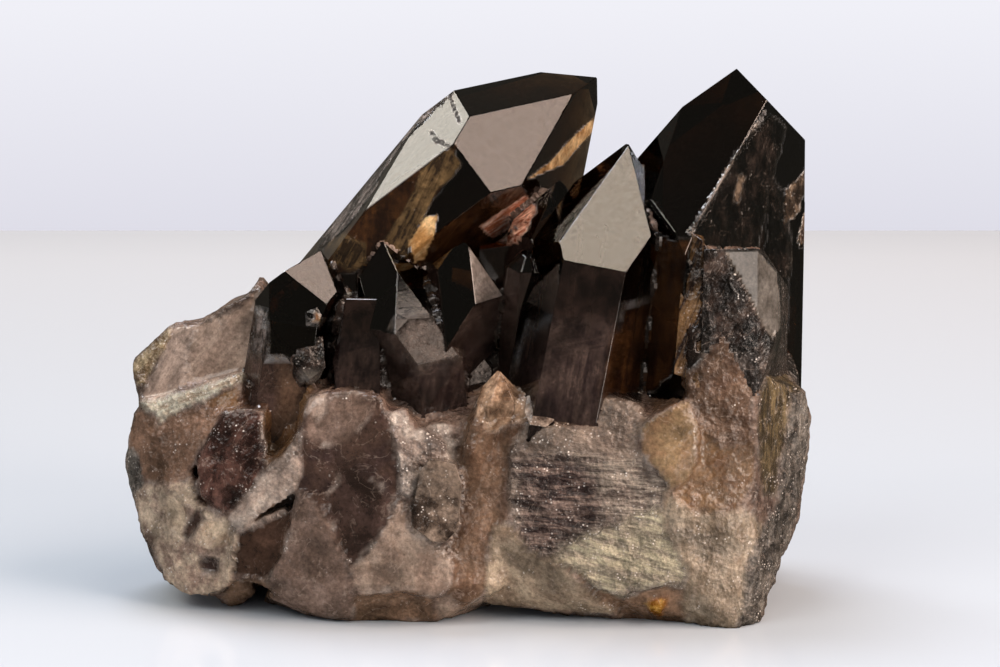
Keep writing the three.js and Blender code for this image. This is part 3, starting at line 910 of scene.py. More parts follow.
@dataclass(frozen=True)
class Quartz:
    """The stone's material: smoky quartz, clear in its crystals and full of healed cracks in its root.

    Args:
        index: Refractive index of quartz.
        smoke: The colour that a short way through the crystal leaves.
        density: How strongly it absorbs, per metre.
    """

    index: float = 1.544
    smoke: str = "#bf9837"
    density: float = 370.0

    def build(self) -> bpy.types.Material:
        """Makes the material.

        Smoky quartz: grown faces gleam like glass over a brown depth that goes black within a few mm.
        Broken and healed parts are milky and fibrous, and they glitter.

        Returns:
            The material.
        """
        material = bpy.data.materials.new("smoky_quartz_crystal")
        material.use_nodes = True
        tree = material.node_tree
        tree.nodes.clear()
        add = functools.partial(add_node, tree)

        place = add("TexCoord", {}).outputs["Object"]
        main = add("Attribute", {}, attribute_name="main")
        vein = add("Attribute", {}, attribute_name="vein")
        work = add("Attribute", {}, attribute_name="work")
        parts = add("SeparateColor", {0: work})
        rough, relief, fibre = parts.outputs[0], parts.outputs[1], parts.outputs[2]
        stria, milk, fleck = work.outputs["Alpha"], main.outputs["Alpha"], vein.outputs["Alpha"]
        lay = add("Attribute", {}, attribute_name="lay").outputs["Vector"]
        rise = add("Attribute", {}, attribute_name="rise").outputs["Fac"]

        # Clouds about 4 mm wide, and strands under 1 mm thick that run on for about 8 mm.
        clouds = add("TexNoise", {"Vector": place, "Scale": 260.0, "Detail": 6.0, "Roughness": 0.62})
        drawn_out = add("Mapping", {"Vector": lay, "Scale": (0.12, 0.7, 1.1)})
        strands = add("TexNoise", {"Vector": drawn_out, "Scale": 1.0, "Detail": 5.0, "Roughness": 0.65})
        pattern = add("Mix", {0: fibre, 2: clouds, 3: strands}, data_type="FLOAT")
        veined = add("MapRange", {0: pattern, 1: 0.43, 2: 0.59, 3: 0.0, 4: 1.0})
        skin = add("MixRGB", {0: veined, 1: main, 2: vein})
        # Shades about 10 mm wide from the depth that light reaches, and mottling from bubbles and dust.
        dust = add("TexNoise", {"Vector": place, "Scale": 1500.0, "Detail": 4.0, "Roughness": 0.7})
        mottle = add("MapRange", {0: dust, 1: 0.3, 2: 0.7, 3: 0.6, 4: 1.4})
        shade = add("TexNoise", {
            "Vector": place, "Scale": 110.0, "Detail": 4.0, "Roughness": 0.6, "Distortion": 0.6,
        })
        deep = add("MapRange", {0: shade, 1: 0.36, 2: 0.64, 3: 0.5, 4: 1.5})
        both = add("Math", {0: mottle, 1: deep}, operation="MULTIPLY")
        dusty = add("HueSaturation", {"Value": both, "Color": skin})

        # Healed cracks through the root: thin pale lines a few mm apart, which come and go.
        seams = add("TexNoise", {
            "Vector": place, "Scale": 130.0, "Detail": 3.0, "Roughness": 0.55, "Distortion": 1.2,
        })
        off = add("Math", {0: seams, 1: 0.5}, operation="SUBTRACT")
        away = add("Math", {0: off}, operation="ABSOLUTE")
        seam = add("MapRange", {0: away, 1: 0.0, 2: 0.012, 3: 0.5, 4: 0.0})
        open_to = add("MapRange", {0: dust, 1: 0.42, 2: 0.58, 3: 0.0, 4: 1.0})
        broken_only = add("Math", {0: relief, 1: 10.0}, operation="MULTIPLY", use_clamp=True)
        line = add("Math", {0: seam, 1: open_to}, operation="MULTIPLY")
        cracked = add("Math", {0: line, 1: broken_only}, operation="MULTIPLY")
        healed = add("MixRGB", {0: cracked, 1: dusty, 2: (*linear("#a89688"), 1.0)})

        # Bright flecks under 0.5 mm wide, where a wider noise lets them gather: white broken quartz, and
        # painted glints.
        shards = add("TexVoronoi", {"Vector": place, "Scale": 1700.0, "Randomness": 1.0}, feature="F1")
        ridge = add("MapRange", {0: shards.outputs["Distance"], 1: 0.16, 2: 0.3, 3: 1.0, 4: 0.0})
        swarm = add("TexNoise", {"Vector": place, "Scale": 420.0, "Detail": 3.0})
        crowd = add("Math", {0: fleck, 1: 0.2, 2: swarm}, operation="MULTIPLY_ADD")
        gather = add("MapRange", {0: crowd, 1: 0.62, 2: 0.78, 3: 0.0, 4: 1.0})
        flecked = add("Math", {0: fleck, 1: 4.0}, operation="MULTIPLY", use_clamp=True)
        gathered = add("Math", {0: gather, 1: flecked}, operation="MULTIPLY")
        flecks_and_painted_glints = add("Math", {0: ridge, 1: gathered}, operation="MULTIPLY")
        colour = add("MixRGB", {0: flecks_and_painted_glints, 1: healed, 2: (*linear("#efe6dc"), 1.0)})

        # Milk comes and goes in the half clear parts, and every fleck is opaque.
        gap = add("Math", {0: 1.0, 1: milk}, operation="SUBTRACT")
        half = add("Math", {0: milk, 1: gap}, operation="MULTIPLY")
        swing = add("MapRange", {0: clouds, 1: 0.35, 2: 0.65, 3: -3.4, 4: 2.4})
        drift = add("Math", {0: swing, 1: broken_only}, operation="MULTIPLY")
        milky = add("Math", {0: half, 1: drift, 2: milk}, operation="MULTIPLY_ADD", use_clamp=True)
        clear = add("Math", {0: 1.0, 1: milky}, operation="SUBTRACT")
        unflecked = add("Math", {0: 1.0, 1: flecks_and_painted_glints}, operation="SUBTRACT")
        see_through = add("Math", {0: clear, 1: unflecked}, operation="MULTIPLY", use_clamp=True)

        # Relief in mm: broken grain, strands, and growth lines across the crystals.
        grain = add("TexNoise", {"Vector": place, "Scale": 900.0, "Detail": 5.0, "Roughness": 0.6})
        threads = add("Math", {0: fibre, 1: strands}, operation="MULTIPLY")
        facets = add("TexVoronoi", {"Vector": place, "Scale": 520.0, "Randomness": 1.0}, feature="F1")
        chips = add("TexVoronoi", {"Vector": place, "Scale": 1500.0, "Randomness": 1.0}, feature="F1")
        uneven = add("Math", {0: facets.outputs["Distance"], 1: 1.4, 2: threads}, operation="MULTIPLY_ADD")
        chipped = add("Math", {0: chips.outputs["Distance"], 1: 0.5, 2: uneven}, operation="MULTIPLY_ADD")
        broken = add("Math", {0: grain, 1: 1.0, 2: chipped}, operation="MULTIPLY_ADD")
        level = add("CombineXYZ", {2: rise})
        lines = add("TexNoise", {"Vector": level, "Scale": 1.7, "Detail": 6.0, "Roughness": 0.8})
        grown = add("Math", {0: stria, 1: 0.02}, operation="MULTIPLY")
        steps = add("Math", {0: grown, 1: lines}, operation="MULTIPLY")
        height = add("Math", {0: relief, 1: broken, 2: steps}, operation="MULTIPLY_ADD")
        bump = add("Bump", {"Strength": 1.0, "Distance": 0.001, "Height": height})
        wear = add("MapRange", {0: dust, 1: 0.34, 2: 0.66, 3: 0.15, 4: 1.1})
        roughness = add("Math", {0: rough, 1: wear}, operation="MULTIPLY", use_clamp=True)

        surface = add("BsdfPrincipled", {
            "Base Color": colour, "Roughness": roughness, "Transmission Weight": see_through,
            "IOR": self.index, "Normal": bump,
        })
        volume = add("VolumeAbsorption", {"Color": (*linear(self.smoke), 1.0), "Density": self.density})
        add("OutputMaterial", {"Surface": surface, "Volume": volume})
        return material


@dataclass(frozen=True)
class Panel:
    """A soft box of the studio.

    Args:
        name: Where it stands.
        azimuth: Its direction from the stone, in degrees to the right of the viewer.
        elevation: Its height over the table, in degrees.
        width: Its width in m.
        height: Its height in m.
        radiance: How bright its face is.
        tint: Its colour.
    """

    name: str
    azimuth: float
    elevation: float
    width: float
    height: float
    radiance: float
    tint: str = "#ffffff"

    def build(self) -> None:
        """Hangs the soft box, turned to the stone."""
        lamp = bpy.data.lights.new(self.name, "AREA")
        lamp.shape = "ELLIPSE"
        lamp.size, lamp.size_y = self.width, self.height
        lamp.energy = self.radiance * math.pi * (math.pi * self.width * self.height / 4)
        lamp.color = linear(self.tint)
        holder = stand(self.name, lamp)
        turn, rise = math.radians(self.azimuth), math.radians(self.elevation)
        out = Vector((math.sin(turn) * math.cos(rise), -math.cos(turn) * math.cos(rise), math.sin(rise)))
        holder.location = out * PANEL_DISTANCE + STONE_MIDDLE
        holder.rotation_euler = out.to_track_quat("Z", "Y").to_euler()


@dataclass
class Studio:
    """A pale table with soft boxes round it.

    Args:
        panels: The soft boxes.
        table_back: How far the table reaches behind the stone, in m.
        table_half: Half the table's width and half its depth, in m.
        room: The colour of the room behind the table.
    """

    panels: list[Panel]
    table_back: float = 0.49
    table_half: tuple[float, float] = (1.6, 1.5)
    room: str = "#f0f0f7"

    def table(self) -> None:
        """Lays the glossy table top."""
        shape = bmesh.new()
        wide, deep = self.table_half
        middle = Matrix.Translation((0.0, self.table_back - deep, 0.0))
        stretch = Matrix.Diagonal((wide, deep, 1.0, 1.0))
        bmesh.ops.create_grid(shape, x_segments=1, y_segments=1, size=1.0, matrix=middle @ stretch)
        mesh = bpy.data.meshes.new("table_top")
        shape.to_mesh(mesh)
        shape.free()
        table = stand("table_top", mesh)
        # White gloss laminate: a pale surface that mirrors the stone softly.
        laminate = bpy.data.materials.new("white_gloss_laminate")
        laminate.use_nodes = True
        laminate.node_tree.nodes.clear()
        add = functools.partial(add_node, laminate.node_tree)
        mirrored = add("LightPath", {}).outputs["Is Glossy Ray"]
        # It pales from 80 to 420 mm behind the stone, painted light where the far table is brighter.
        # Mirrored in the crystals it is dusky, so that they stay dark.
        spot = add("SeparateXYZ", {0: add("TexCoord", {}).outputs["Object"]})
        back = add("MapRange", {0: spot.outputs[1], 1: 0.08, 2: 0.42, 3: 0.0, 4: 1.0})
        pale = add("MixRGB", {0: back, 1: (*linear("#d3dfea"), 1.0), 2: (*linear("#f3f9ff"), 1.0)})
        colour = add("MixRGB", {0: mirrored, 1: pale, 2: (*linear("#45423a"), 1.0)})
        surface = add("BsdfPrincipled", {"Base Color": colour, "Roughness": 0.09, "IOR": 1.5})
        add("OutputMaterial", {"Surface": surface})
        mesh.materials.append(laminate)

    def air(self) -> None:
        """Lights the room: pale to the eye, darker in front of the stone than behind and above it."""
        world = bpy.data.worlds.new("room")
        world.use_nodes = True
        tree = world.node_tree
        tree.nodes.clear()
        add = functools.partial(add_node, tree)
        ways = add("SeparateXYZ", {0: add("TexCoord", {}).outputs["Generated"]})
        behind = add("MapRange", {0: ways.outputs[1], 1: -0.35, 2: 0.5, 3: 0.3, 4: 0.42})
        low = add("MapRange", {0: ways.outputs[2], 1: -0.13, 2: -0.04, 3: 0.0, 4: 1.0})
        pale = add("MixRGB", {0: low, 1: (*linear("#dcdbe6"), 1.0), 2: (*linear(self.room), 1.0)})
        path = add("LightPath", {})
        # Crystals and table top mirror a darker room than the one that lights the stone.
        mirrored = path.outputs["Is Glossy Ray"]
        strength = add("Mix", {0: mirrored, 2: behind, 3: 0.13}, data_type="FLOAT")
        tint = add("MixRGB", {0: mirrored, 1: (*linear(self.room), 1.0), 2: (*linear("#efe2cf"), 1.0)})
        glow = add("Background", {"Color": tint, "Strength": strength})
        seen = add("Background", {"Color": pale, "Strength": 1.0})
        both = add("MixShader", {0: path.outputs["Is Camera Ray"], 1: glow, 2: seen})
        add("OutputWorld", {"Surface": both})
        bpy.context.scene.world = world

    def camera(self) -> None:
        """Puts the viewer's camera before the stone."""
        lens = bpy.data.cameras.new("viewer")
        lens.lens, lens.sensor_width = LENS_MM, SENSOR_MM
        lens.clip_start, lens.clip_end = 0.02, 20.0
        camera = stand("viewer", lens)
        camera.location = (EYE - DRAWN_MIDDLE) / TO_MM
        camera.rotation_euler = (math.pi / 2 - LOOK_DOWN, 0.0, 0.0)
        bpy.context.scene.camera = camera

    def build(self) -> None:
        """Sets up the table, the room, the soft boxes and the camera."""
        self.table()
        self.air()
        for panel in self.panels:
            panel.build()
        self.camera()
        bpy.context.scene.view_settings.view_transform = "Standard"
        LOG.info("studio: %d soft boxes", len(self.panels))


def crystals() -> list[Solid]:
    """Lists the crystals and the blocks with crisp faces, as they grew.

    Returns:
        The bodies, in the drawing.
    """
    dusky = {0: Look.DUSKY, 5: Look.DUSKY}
    far_side = [
        Crystal(name, tip=tip, lean=lean, fore=fore, length=length, faces=quartz(turn, sides, caps))
        for name, tip, lean, fore, length, turn, sides, caps in (
            ("rearMiddle", (26, 16, 63), 5, -12, 52, 14, [7, 6, 7, 8, 6, 7], [1, 0, 2, 0, 1, 0]),
            ("rearLeft", (-13, 21, 44), -7, -20, 38, -20, [7, 6, 6, 6.5, 7, 6], [0, 2, 0, 0, 1, 2]),
            ("rearRight", (45, 25, 47), 8, -16, 36, 32, [5, 5, 5.5, 5, 5, 5], [0, 1, 0, 1, 0, 1]),
            ("rearEdge", (49, 14, 51), 6, -8, 34, -12, [4.5, 5, 4.5, 4.5, 5, 4.5], [0, 1, 0, 1.5, 0, 0.5]),
            (
                "rearWing", (-37, 15, 44.5), -12, -16, 26, 25,
                [4, 3.5, 4, 4.5, 3.5, 4], [0.5, 0, 1, 0, 0.5, 0],
            ),
        )
    ]
    return [
        Crystal(
            "leaningCrystal", looks={1: Look.SMOKY_SIDE}, detail=0.36, tip=(17.5, 12, 80.5), lean=53,
            length=62,
            faces=[*quartz(-5, [15.5, 12, 15.5, 11, 9, 12], [0, 0, 12, 14, 9, 0]), (-83, -16, 18)],
        ),
        Crystal(
            "tallCrystal", detail=0.5, tip=(43.5, 9, 84.5), lean=1, fore=-5, length=72,
            faces=[
                (-4, CAP_SLOPE, 0), (-62, 34, 4.5), (-50, -1, 21), (3, 27.5, 5), (50, 1, 6.5),
                (-125, 37, 0), (84, 45, 0.5), (96, 16, 13.5), (97, 0, 13), (-115, 0, 13), (-160, 0, 11),
                (150, 0, 10), (178, CAP_SLOPE, 3),
            ],
        ),
        Crystal(
            "centreCrystal", looks={0: Look.DARK_CLEAR}, edge=0.05, tip=(26, 0, 73), lean=11, fore=-6,
            length=60, faces=quartz(-3, [15.5, 10.5, 8, 5, 7, 13.5], [0, 0, 0.5, 2, 1.5, 0]),
        ),
        Crystal(
            "stripedCrystal", looks=dusky, tip=(-12.5, -6.5, 57), lean=-5, fore=14, length=48,
            faces=quartz(21, [13.5, 12, 8, 6, 5, 8], [2.5, 0, 1.5, 3, 2, 0]),
        ),
        # The striped crystal behind wears painted shade on its face 6.
        Crystal(
            "stripedCrystalBack", looks={**dusky, 6: Look.PAINTED_SHADE}, tip=(-7.5, -1, 53), lean=-5, fore=14,
            length=48, faces=quartz(21, [13, 11.5, 8, 6, 5, 10], [0.5, 0, 1.5, 3, 2, 4]),
        ),
        # The middle crystal's face 6 wears a painted reflection.
        Crystal(
            "middleCrystal", looks={0: Look.DUSKY, 4: Look.DARK_CLEAR, 6: Look.PAINTED_FACET_REFLECTION},
            tip=(0.5, -7, 57.5), lean=7.5, fore=14, length=46,
            faces=quartz(50, [5.5, 9, 7, 6, 5, 11], [0, 0, 1, 2, 2.5, 0]),
        ),
        Crystal(
            "thinCrystal", looks=dusky, tip=(9.7, -7, 57.5), lean=4, fore=8, length=42,
            faces=[*quartz(10, [3, 3, 3, 4, 3, 2.7], [0.5, 0, 0.5, 1, 0.5, 0]), (0, 80, -1)],
        ),
        Crystal(
            "leftCrystal", tip=(-23.1, -6, 56.9), lean=10, fore=4, length=44,
            faces=[
                (19.5, 45, 0), (0, 20, 3.8), (85, CAP_SLOPE, 0), (-112, CAP_SLOPE, 0),
                (-90, CAP_SLOPE, 2.3), (170, CAP_SLOPE, 0), (0, 0, 8), (-60, 0, 9), (-95, 0, 8.6),
                (60, 0, 5.5), (120, 0, 5), (180, 0, 7),
            ],
        ),
        Crystal(
            "tuckedCrystal", looks={5: Look.DARK_CLEAR}, detail=0.5, tip=(15, 3, 66.5), lean=7, fore=2,
            length=44, faces=quartz(6, [7, 7, 7, 7, 6, 7], [0, 1, 1, 2, 1, 0.5]),
        ),
        *far_side,
        Crystal(
            "clearTip", Look.HONEY_CLEAR, tip=(5.5, -16, 39), fore=6, length=12,
            faces=quartz(4, [3, 3, 3, 3, 3, 3.5], [0, 0, 0, 1, 1, 0]),
        ),
        Lump("rustyFin", Look.RUSTY, corners=[
            (34.5, -12, 61), (37, -14.5, 59.5), (38, -17, 46), (36, -19.5, 38), (32.5, -18, 39),
            (34, -14, 52), (38, -6, 60), (40, -8, 38), (34, -6, 38), (36, -4, 58),
        ]),
        Lump("paleFacetStub", Look.ROUGH_DARK, detail=0.5, corners=[
            (40, -17.5, 58.5), (45.5, -16.5, 58.5), (48.5, -14.5, 55), (49, -15, 45.5), (46.5, -17, 43),
            (45.5, -18.5, 36), (36.5, -19, 38), (37, -17.5, 58.5), (38, 0, 56), (48, 0, 56), (52, 0, 50),
            (52, 0, 36), (38, 0, 36),
        ]),
        Lump("bluntStub", Look.DARK_CLEAR, corners=[
            (-19, -9, 49.5), (-14, -9.5, 49.5), (-13.5, -12.5, 41), (-13.5, -15, 34), (-20.5, -14.5, 36),
            (-21, -12, 40), (-18, 0, 49.5), (-13, 0, 49.5), (-12, 0, 34), (-21, 0, 34),
        ]),
        Lump("smallWedge", Look.DARK_PITTED, corners=[
            (-27, -14.5, 40.5), (-24.5, -15, 37.5), (-22, -14.5, 39.5), (-22.5, -12, 44),
            (-26.5, -12, 43), (-24.5, -6, 42), (-24.5, -8, 34), (-28, -10, 34),
        ]),
        Lump("clearKnob", Look.CLEAR_KNOB, corners=[
            (9.5, -17.2, 35.3), (12, -17.8, 36), (15, -18.2, 35), (15.6, -19, 33.4), (12.5, -20.6, 31),
            (10, -20.4, 31.4), (9.2, -19, 33), (10, -13, 35.5), (15, -13, 35), (15, -13, 30),
            (10, -13, 30),
        ]),
        Lump("innerStub", Look.DARK_CLEAR, corners=[
            (2, 1, 56), (9, 1, 57), (10, 1, 40), (1, 1, 40),
            (2, 8, 56), (9, 8, 57), (10, 8, 40), (1, 8, 40),
        ]),
        Lump("stubCrystal", Look.WATER_CLEAR, corners=[
            (-5.5, -22.5, 26.5), (-1.5, -22.5, 25.5), (-0.5, -23.5, 22.5), (-1, -25.5, 16), (-3, -26, 14),
            (-5, -26, 14), (-8, -25, 16), (-8, -24, 19.5), (-7, -22.5, 24.5), (-6, -14, 25),
            (-1, -14, 25), (-1, -16, 15), (-7, -16, 16),
        ]),
    ]


def good_side() -> list[Region]:
    """Lists the regions of the side that the viewer sees.

    Returns:
        The regions. A later one covers the ones before it.
    """
    lean, tall, mid, facet = "leaningCrystal", "tallCrystal", "centreCrystal", "paleFacetStub"
    shaft = [(408, 372), (470, 360), (474, 400), (460, 465), (405, 440), (395, 400)]
    return [
        # Painted shade: near black over the hollows between the crystals' feet, where shade falls.
        Region(Look.PAINTED_SHADE, [
            (318, 262), (400, 258), (560, 235), (705, 230), (705, 368), (660, 374), (640, 402),
            (580, 396), (520, 386), (472, 384), (404, 392), (330, 386), (318, 350),
        ], rim=0.0),
        # The milky wing at the left, with its two silky faces, its rusty edge and its sparkling ledge.
        Region(Look.SILKY, [
            (172, 327), (198, 325), (189, 345), (185, 383), (162, 400), (138, 401), (145, 384),
            (155, 369),
        ], soft=1.0, ragged=1.0, lift=0.1),
        Region(Look.SILKY_PALE, [
            (198, 325), (238, 306), (248, 302), (259, 283), (258, 308), (255, 320), (249, 356),
            (242, 376), (217, 382), (185, 384), (189, 345),
        ], soft=0.8, ragged=0.8),
        Region(Look.RUSTY_EDGE, [
            (173, 326), (154, 343), (133, 364), (134, 382), (144, 386), (152, 370), (159, 356),
            (170, 338),
        ], lift=0.2),
        Region(Look.TAN, [(206, 401), (238, 386), (240, 408), (222, 410), (208, 410)]),
        Region(Look.SPARKLY_LEDGE, [
            (243, 371), (217, 380), (198, 388), (162, 397), (138, 402), (142, 409), (154, 414),
            (159, 424), (173, 416), (183, 408), (206, 400), (222, 390), (242, 382),
        ], lift=0.5),
        # The lower left.
        Region(Look.BUBBLY_BROWN, [
            (136, 409), (154, 415), (159, 424), (183, 410), (222, 408), (210, 436), (198, 447),
            (193, 465), (191, 481), (172, 484), (152, 481), (141, 473), (128, 452), (131, 432),
        ], lift=0.2),
        Region(Look.GREY_RIM, [(126, 444), (136, 452), (143, 473), (147, 492), (136, 500), (124, 480)]),
        Region(Look.MOTTLED, [
            (133, 492), (150, 482), (172, 484), (192, 481), (201, 502), (217, 513), (230, 520),
            (237, 538), (235, 573), (233, 581), (219, 590), (190, 598), (166, 584), (156, 554),
            (143, 533), (137, 512),
        ], lift=0.3),
        Region(Look.PALE_BOSS, [(167, 494), (181, 500), (186, 514), (180, 532), (170, 524), (164, 508)]),
        Region(Look.PALE_BOSS, [(206, 519), (226, 524), (233, 545), (214, 545), (203, 532)]),
        Region(Look.SMOKY_WINDOW, [
            (198, 509), (205, 516), (196, 528), (187, 540), (183, 532), (190, 518),
        ]),
        Region(Look.SMOKY_WINDOW, [(199, 557), (219, 559), (218, 572), (202, 574), (197, 566)]),
        Region(Look.DARK_SPARKLY, [
            (222, 410), (248, 409), (264, 415), (267, 458), (254, 489), (233, 511), (224, 513),
            (201, 499), (195, 476), (196, 457), (209, 438),
        ], lift=0.3),
        Region(Look.PALE_VEIN, [
            (293, 437), (301, 468), (298, 482), (288, 513), (256, 529), (236, 533), (229, 520),
            (236, 510), (254, 489), (269, 465), (288, 447),
        ], lift=0.5),
        Region(Look.FLAT_WINDOW, [
            (291, 512), (287, 538), (277, 565), (267, 581), (235, 573), (236, 536), (256, 528),
            (277, 517),
        ], soft=0.8, lift=-0.3),
        Region(Look.BROWN_SOLE, [(232, 580), (266, 582), (272, 597), (250, 600), (232, 612), (222, 596)]),
        Region(Look.PINKISH, [
            (300, 490), (317, 502), (332, 520), (335, 544), (348, 567), (356, 596), (353, 622),
            (313, 617), (271, 598), (274, 570), (287, 536), (294, 510),
        ], lift=0.2),
        # The big smoky window, with a paler top, a beige cap and a dark veil.
        Region(Look.SMOKY_WINDOW, [
            (311, 395), (327, 397), (355, 391), (382, 399), (390, 426), (397, 465), (400, 499),
            (382, 531), (364, 559), (351, 567), (335, 541), (332, 520), (314, 499), (298, 486),
            (300, 465), (298, 436), (303, 410),
        ], lift=0.2),
        Region(Look.PINKISH, [
            (312, 398), (355, 396), (371, 413), (352, 438), (325, 446), (303, 436), (304, 414),
        ], soft=6.0, ragged=6.0),
        Region(Look.SILKY, [(308, 397), (327, 394), (329, 409), (321, 418), (305, 411)], soft=2.0),
        Region(Look.DEEP_WINDOW, [
            (324, 446), (347, 459), (380, 484), (398, 499), (378, 530), (362, 555), (347, 555),
            (335, 520), (328, 495), (340, 478),
        ], soft=5.0, ragged=7.0),
        Region(Look.PALE_LOBE, [
            (403, 503), (411, 530), (429, 541), (445, 549), (456, 565), (446, 592), (431, 597),
            (394, 589), (360, 596), (350, 567), (366, 557), (382, 531), (392, 514),
        ], lift=0.3),
        Region(Look.BROWN_SOLE, [(355, 597), (394, 590), (433, 597), (437, 620), (355, 624)]),
        Region(Look.PALE_LOBE, [
            (437, 597), (446, 592), (470, 590), (500, 590), (500, 608), (470, 612), (437, 622),
        ]),
        # Between the crystals' feet.
        Region(Look.TAN, [
            (265, 357), (277, 355), (290, 366), (314, 387), (303, 413), (293, 439), (277, 457),
            (268, 466), (265, 416),
        ], lift=-0.2),
        Region(Look.FLAT_WINDOW, [(248, 355), (277, 355), (277, 411), (240, 408)], soft=0.8, ragged=1.0),
        Region(Look.SPARK_VEIN, [
            (387, 412), (405, 410), (411, 434), (431, 423), (447, 423), (458, 444), (455, 463),
            (431, 457), (418, 465), (416, 487), (408, 501), (399, 494), (396, 452), (391, 431),
        ], lift=0.5),
        Region(Look.WATER_CLEAR, [
            (416, 466), (460, 463), (464, 484), (460, 527), (440, 543), (414, 535), (411, 505),
        ]),
        Region(Look.WARM_RIB, [
            (457, 464), (466, 420), (474, 402), (482, 415), (491, 430), (526, 424), (515, 455),
            (508, 481), (508, 521), (493, 529), (488, 557), (484, 593), (462, 609), (446, 592),
            (457, 565), (444, 548), (460, 527),
        ], lift=0.2),
        Region(Look.WATER_CLEAR, [
            (527, 398), (547, 390), (566, 398), (581, 396), (589, 405), (588, 422), (559, 424),
            (549, 434), (526, 434),
        ], lift=0.3),
        Region(Look.HONEY_CLEAR, [
            (478, 392), (506, 376), (526, 393), (527, 421), (507, 425), (490, 432), (475, 416),
        ]),
        # The fibrous face with its darker left and its yellowish foot.
        Region(Look.GREY_BAND, [
            (508, 455), (526, 425), (559, 424), (587, 428), (589, 405), (609, 396), (642, 404),
            (647, 420), (635, 446), (648, 462), (658, 470), (610, 468), (560, 456), (512, 470),
        ], lift=0.2),
        Region(Look.FIBRE_GREY, [
            (510, 460), (560, 450), (620, 458), (658, 470), (671, 488), (663, 509), (675, 547),
            (688, 568), (682, 590), (668, 586), (646, 591), (623, 600), (587, 583), (552, 555),
            (531, 548), (516, 531), (507, 505),
        ], lift=0.1),
        Region(Look.FIBRE_DARK, [
            (511, 456), (554, 452), (596, 474), (603, 500), (588, 532), (566, 543), (550, 556),
            (531, 548), (516, 531), (507, 505), (508, 470),
        ], soft=14.0, ragged=14.0),
        Region(Look.FIBRE_PALE, [
            (566, 545), (600, 530), (640, 518), (665, 509), (675, 547), (688, 568), (682, 590),
            (668, 586), (646, 591), (623, 600), (587, 583), (556, 557),
        ], soft=7.0, ragged=8.0),
        Region(Look.LIP, [
            (493, 529), (507, 522), (517, 533), (531, 549), (550, 557), (578, 583), (623, 607),
            (621, 617), (559, 611), (517, 607), (484, 606), (488, 557),
        ], lift=0.4),
        Region(Look.BROWN_SOLE, [
            (562, 564), (592, 586), (623, 600), (645, 592), (667, 586), (684, 592), (684, 625),
            (621, 618), (592, 592),
        ], soft=1.0, lift=-0.4),
        Region(Look.STAIN, [
            (647, 602), (658, 596), (667, 595), (666, 606), (661, 620), (653, 617),
        ], ragged=2.0),
        # The right side of the root.
        Region(Look.UPPER_MILK, [
            (665, 377), (696, 370), (710, 344), (714, 325), (776, 325), (762, 354), (762, 387),
            (750, 408), (756, 443), (753, 481), (720, 448), (696, 429), (691, 403), (665, 408),
            (655, 413), (648, 400),
        ], lift=0.1),
        Region(Look.TAN, [
            (694, 425), (720, 446), (752, 443), (754, 481), (739, 510), (727, 527), (696, 527),
            (672, 489), (687, 478), (696, 462),
        ], soft=4.0, ragged=5.0),
        Region(Look.PALE_TAN, [
            (667, 489), (696, 512), (743, 508), (765, 526), (758, 557), (748, 581), (743, 613),
            (737, 632), (684, 628), (681, 592), (688, 568), (675, 547), (662, 509),
        ], soft=3.0, ragged=5.0),
        Region(Look.HONEY_BOSS, [
            (641, 425), (665, 408), (690, 402), (697, 424), (697, 462), (686, 482), (670, 488),
            (658, 469), (641, 453),
        ], lift=0.5),
        Region(Look.ROUGH_DARK, [(758, 355), (777, 325), (803, 325), (803, 392), (786, 370)]),
        Region(Look.OLIVE_STREAK, [
            (764, 358), (787, 370), (802, 392), (789, 406), (784, 443), (777, 495), (762, 493),
            (758, 424), (761, 387),
        ], soft=3.0),
        Region(Look.GREY_RIM, [
            (790, 395), (803, 390), (812, 420), (806, 476), (798, 519), (780, 561), (770, 590),
            (758, 634), (735, 634), (743, 590), (751, 557), (764, 526), (779, 500), (784, 443),
        ], lift=0.3),
        # A smoky veil inside the leaning crystal, and painted reflections of its far faces: olive, golden
        # and copper patches.
        Region(Look.SMOKY_SIDE, [
            (325, 248), (408, 175), (450, 149), (457, 143), (440, 190), (393, 226), (370, 265),
            (335, 275),
        ], lean, soft=3.0),
        Region(Look.PAINTED_OLIVE_REFLECTION, [
            (450, 148), (461, 164), (452, 178), (439, 187), (430, 200), (421, 217), (413, 235),
            (408, 257), (398, 255), (382, 244), (393, 226), (406, 206), (415, 189), (421, 172),
            (434, 157),
        ], lean, ragged=2.0),
        Region(Look.PAINTED_OLIVE_REFLECTION, [
            (332, 240), (345, 236), (362, 244), (366, 262), (350, 270), (336, 262),
        ], lean, soft=4.0, ragged=4.0),
        Region(Look.PAINTED_GOLDEN_REFLECTION, [
            (424, 217), (437, 214), (434, 235), (424, 259), (415, 261), (410, 243),
        ], lean, soft=0.8, ragged=1.0),
        Region(Look.PAINTED_COPPER_GLOW, [
            (480, 226), (525, 195), (538, 208), (533, 216), (492, 239),
        ], lean, soft=0.7, ragged=0.8),
        Region(Look.PAINTED_COPPER_GLOW, [
            (497, 242), (531, 220), (527, 228), (517, 241), (502, 248),
        ], lean, soft=0.7, ragged=0.8),
        Region(Look.PAINTED_COPPER_REFLECTION, [
            (500, 210), (525, 195), (538, 208), (533, 218), (505, 234),
        ], "tuckedCrystal", soft=0.7, ragged=0.8),
        Region(Look.PAINTED_COPPER_REFLECTION, [
            (500, 240), (531, 220), (527, 230), (517, 242), (504, 247),
        ], "tuckedCrystal", soft=0.7, ragged=0.8),
        Region(Look.PAINTED_GOLDEN_REFLECTION, [
            (598, 114), (596, 128), (563, 165), (527, 179), (549, 163), (569, 141),
        ], lean, soft=0.8, ragged=0.6),
        Region(Look.STREAKED, [
            (447, 91), (418, 112), (398, 136), (374, 162), (350, 195), (328, 229), (318, 250), (340, 233),
            (356, 217), (372, 193), (384, 168), (405, 141), (422, 121), (452, 94),
